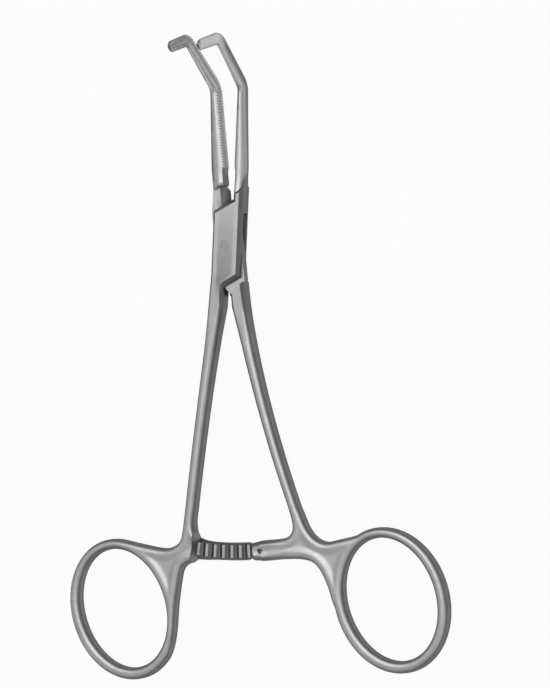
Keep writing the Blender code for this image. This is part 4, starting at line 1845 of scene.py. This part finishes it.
    def serrations(self) -> bpy.types.Object:
        """Two rows of serrations beside the groove.

        Returns:
            The finished piece.
        """
        jaw = self.jaw
        row = ToothRow(pitch=jaw.tooth_pitch, length=0.58, root_width=0.98 * jaw.tooth_pitch,
                       height=jaw.tooth_depth + jaw.sink, crest_share=0.22, end_share=0.86,
                       lean=0.0, centre=0.6, both=True, facing=(1.0, 0.0, 0.0))
        floor = jaw.face_offset - 0.5 * jaw.face_gap - jaw.tooth_depth - jaw.sink
        bars = row.lay("male_half_jaw_serrations", jaw.path(self.lock, floor), SERRATED.material())
        return self.finish(bars, SERRATED, Slot.SATIN, self.row_sharp)


@dataclass
class PivotPin(Half):
    """The pin, ground flush with the box; it is finished like the half that it sits in."""

    sharp: float = 30.0

    def build(self) -> bpy.types.Object:
        """Plain pin with eased edges.

        Returns:
            The finished pin.
        """
        lock = self.lock
        pin = cone("pivot_pin_steel", lock.pin_radius, lock.pin_radius, 0.0,
                   lock.depth - lock.pin_recess)
        bevel = pin.modifiers.new("eased_edge", "BEVEL")
        bevel.width = lock.pin_edge
        bevel.segments = 3
        return self.finish(baked(pin), PIN, Slot.PIN, self.sharp)


# Studio


@dataclass(frozen=True)
class Lamp:
    """One soft area lamp."""

    name: str
    place: tuple[float, float, float]
    size: float
    power: float

    def build(self, target: Vector) -> None:
        """Hang the lamp so that it faces the target.

        Args:
            target: The point that it faces.
        """
        data = bpy.data.lights.new(self.name, "AREA")
        data.shape = "DISK"
        data.size = self.size
        data.energy = self.power
        item = add_object(self.name, data)
        item.location = self.place
        item.rotation_euler = (target - Vector(self.place)).to_track_quat("-Z", "Y").to_euler()


@dataclass(frozen=True)
class Studio:
    """Floor, lamps, world and camera."""

    target: tuple[float, float, float] = (0.011902, -0.020943, 0.0022)
    distance: float = 0.75
    lean: float = math.radians(27)
    roll: float = math.radians(-2.4)
    lens: float = 182.2
    sensor: float = 36.0
    world_tone: float = 0.45
    floor_tone: float = 0.95
    floor_size: float = 3.0
    glow: float = 0.94
    lamps: tuple[Lamp, ...] = (
        Lamp("key", place=(-0.12, 0.35, 1.0), size=0.9, power=2.4),
        Lamp("fill", place=(0.75, -0.45, 0.7), size=0.8, power=0.9))

    def floor(self) -> bpy.types.Object:
        """Plain white floor that keeps a soft shadow.

        Returns:
            The floor.
        """
        bm = bmesh.new()
        bmesh.ops.create_grid(bm, x_segments=1, y_segments=1, size=self.floor_size)
        item = add_object("floor", mesh_from(bm, "floor"))
        material = bpy.data.materials.new("white_floor")
        material.use_nodes = True
        tree = material.node_tree
        shader = tree.nodes["Principled BSDF"]
        give_inputs(tree, shader, {"Base Color": (self.floor_tone,) * 3 + (1.0,),
                                   "Roughness": 0.9, "Specular IOR Level": 0.0})
        ray = add_node(tree, "ShaderNodeLightPath").outputs
        seen = combined(tree, "MAXIMUM", ray["Is Camera Ray"], ray["Is Glossy Ray"])
        seen = combined(tree, "MAXIMUM", seen, ray["Is Transmission Ray"])
        glow = add_node(tree, "ShaderNodeEmission").outputs[0]
        mix = add_node(tree, "ShaderNodeMixShader", {
            0: combined(tree, "MULTIPLY", seen, self.glow), 1: shader.outputs[0], 2: glow})
        give_inputs(tree, tree.nodes["Material Output"], {"Surface": mix.outputs[0]})
        item.data.materials.append(material)
        return item

    def world(self) -> None:
        """Plain grey surroundings."""
        world = bpy.data.worlds.new("studio")
        world.use_nodes = True
        background = world.node_tree.nodes["Background"]
        background.inputs["Color"].default_value = (self.world_tone,) * 3 + (1.0,)
        bpy.context.scene.world = world

    def camera(self) -> None:
        """Camera at the photograph's viewing angle."""
        back = Vector((math.sin(self.lean), 0.0, math.cos(self.lean)))
        level = Vector((math.cos(self.lean), 0.0, -math.sin(self.lean)))
        up = Vector((0.0, math.cos(self.roll), 0.0)) + level * math.sin(self.roll)
        right = up.cross(back)
        data = bpy.data.cameras.new("camera")
        data.sensor_fit = "VERTICAL"
        data.sensor_height = self.sensor
        data.lens = self.lens
        data.clip_end = 10.0
        item = add_object("camera", data)
        turned = Matrix((right, up, back)).transposed().to_4x4()
        item.matrix_world = Matrix.Translation(Vector(self.target) + back * self.distance) @ turned
        bpy.context.scene.camera = item

    def build(self) -> None:
        """Set the whole studio up."""
        self.floor()
        self.world()
        self.camera()
        for lamp in self.lamps:
            lamp.build(Vector(self.target))
        bpy.context.scene.view_settings.view_transform = "Standard"


# The two handles, fitted to the photograph

LEFT_HANDLE = Handle(
    side=Side.LEFT, shank_start=2.15 * MM, shank_slope=0.127, shank_bow=-0.6,
    arm_reach=8.85 * MM, arm_width=4.25 * MM, arm_wall=0.754 * MM,
    ring_centre=(15.7, -14.18), ring_lean=math.radians(-26.6),
    ring_turns=(math.radians(-24), math.radians(205)),
    shoulder=((1.85, 4.03), (2.4, 1.62), (4.15, 0.23), (6.75, -0.17), (12.15, 0.42)),
    web_side=((3.38, -20.25), (2.83, -17.65), (2.58, -15.05), (2.53, -12.7), (2.46, -10.6),
              (2.3, -8.3), (2.15, -6.9), (2, -5.55), (1.55, -2.75), (0.55, -1.35),
              (-1.35, -0.7), (-3.95, -0.4)),
    armpit=((-4.75, 0.1), (-3.55, 0.3), (-2.25, 0.9), (-1.45, 2.1), (-1.15, 4.2)))
RIGHT_HANDLE = Handle(
    side=Side.RIGHT, shank_start=1.6 * MM, shank_slope=0.100, shank_bow=2.0,
    arm_reach=1.4 * MM, arm_width=4.0 * MM, arm_wall=0.49 * MM, arm_drop=0.175 * MM,
    ring_centre=(21.01, -13.12), ring_lean=math.radians(17.4),
    ring_turns=(math.radians(-8), math.radians(281)),
    shoulder=((2.31, 6.53), (3.31, 3.83), (4.91, 1.62), (7.21, 0.47), (10.21, 0.68)),
    web_side=((7.21, -9.9), (6.51, -6.9), (5.31, -3.8), (3.61, -1.6), (0.81, -0.6),
              (-3.29, -0.25)),
    armpit=((-3.59, 0.2), (-1.79, 0.55), (-0.74, 1.6), (-0.54, 3.2), (-0.79, 4.9)))


def main() -> None:
    """Build the clamp's pieces, then the studio, and report each piece."""
    logging.basicConfig(level=logging.INFO, format="%(name)s: %(message)s")
    shared = (BoxLock(), JawShape(), Ratchet())
    box = BoxHalf(*shared, LEFT_HANDLE, Body.BOX_SIDE, "box_half")
    male = MaleHalf(*shared, RIGHT_HANDLE, Body.MALE_SIDE, "male_half", REST_OPENING)
    pin = PivotPin(*shared, LEFT_HANDLE, Body.BOX_SIDE, "pivot_pin")
    for half in (box, male, pin):
        piece = half.build()
        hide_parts(half.node)
        LOG.info("%s: %d faces", piece.name, len(piece.data.polygons))
    for piece in (box.teeth(), box.ridge(), male.teeth(), male.serrations()):
        LOG.info("%s: %d faces", piece.name, len(piece.data.polygons))
    Studio().build()


if __name__ == "__main__":
    main()
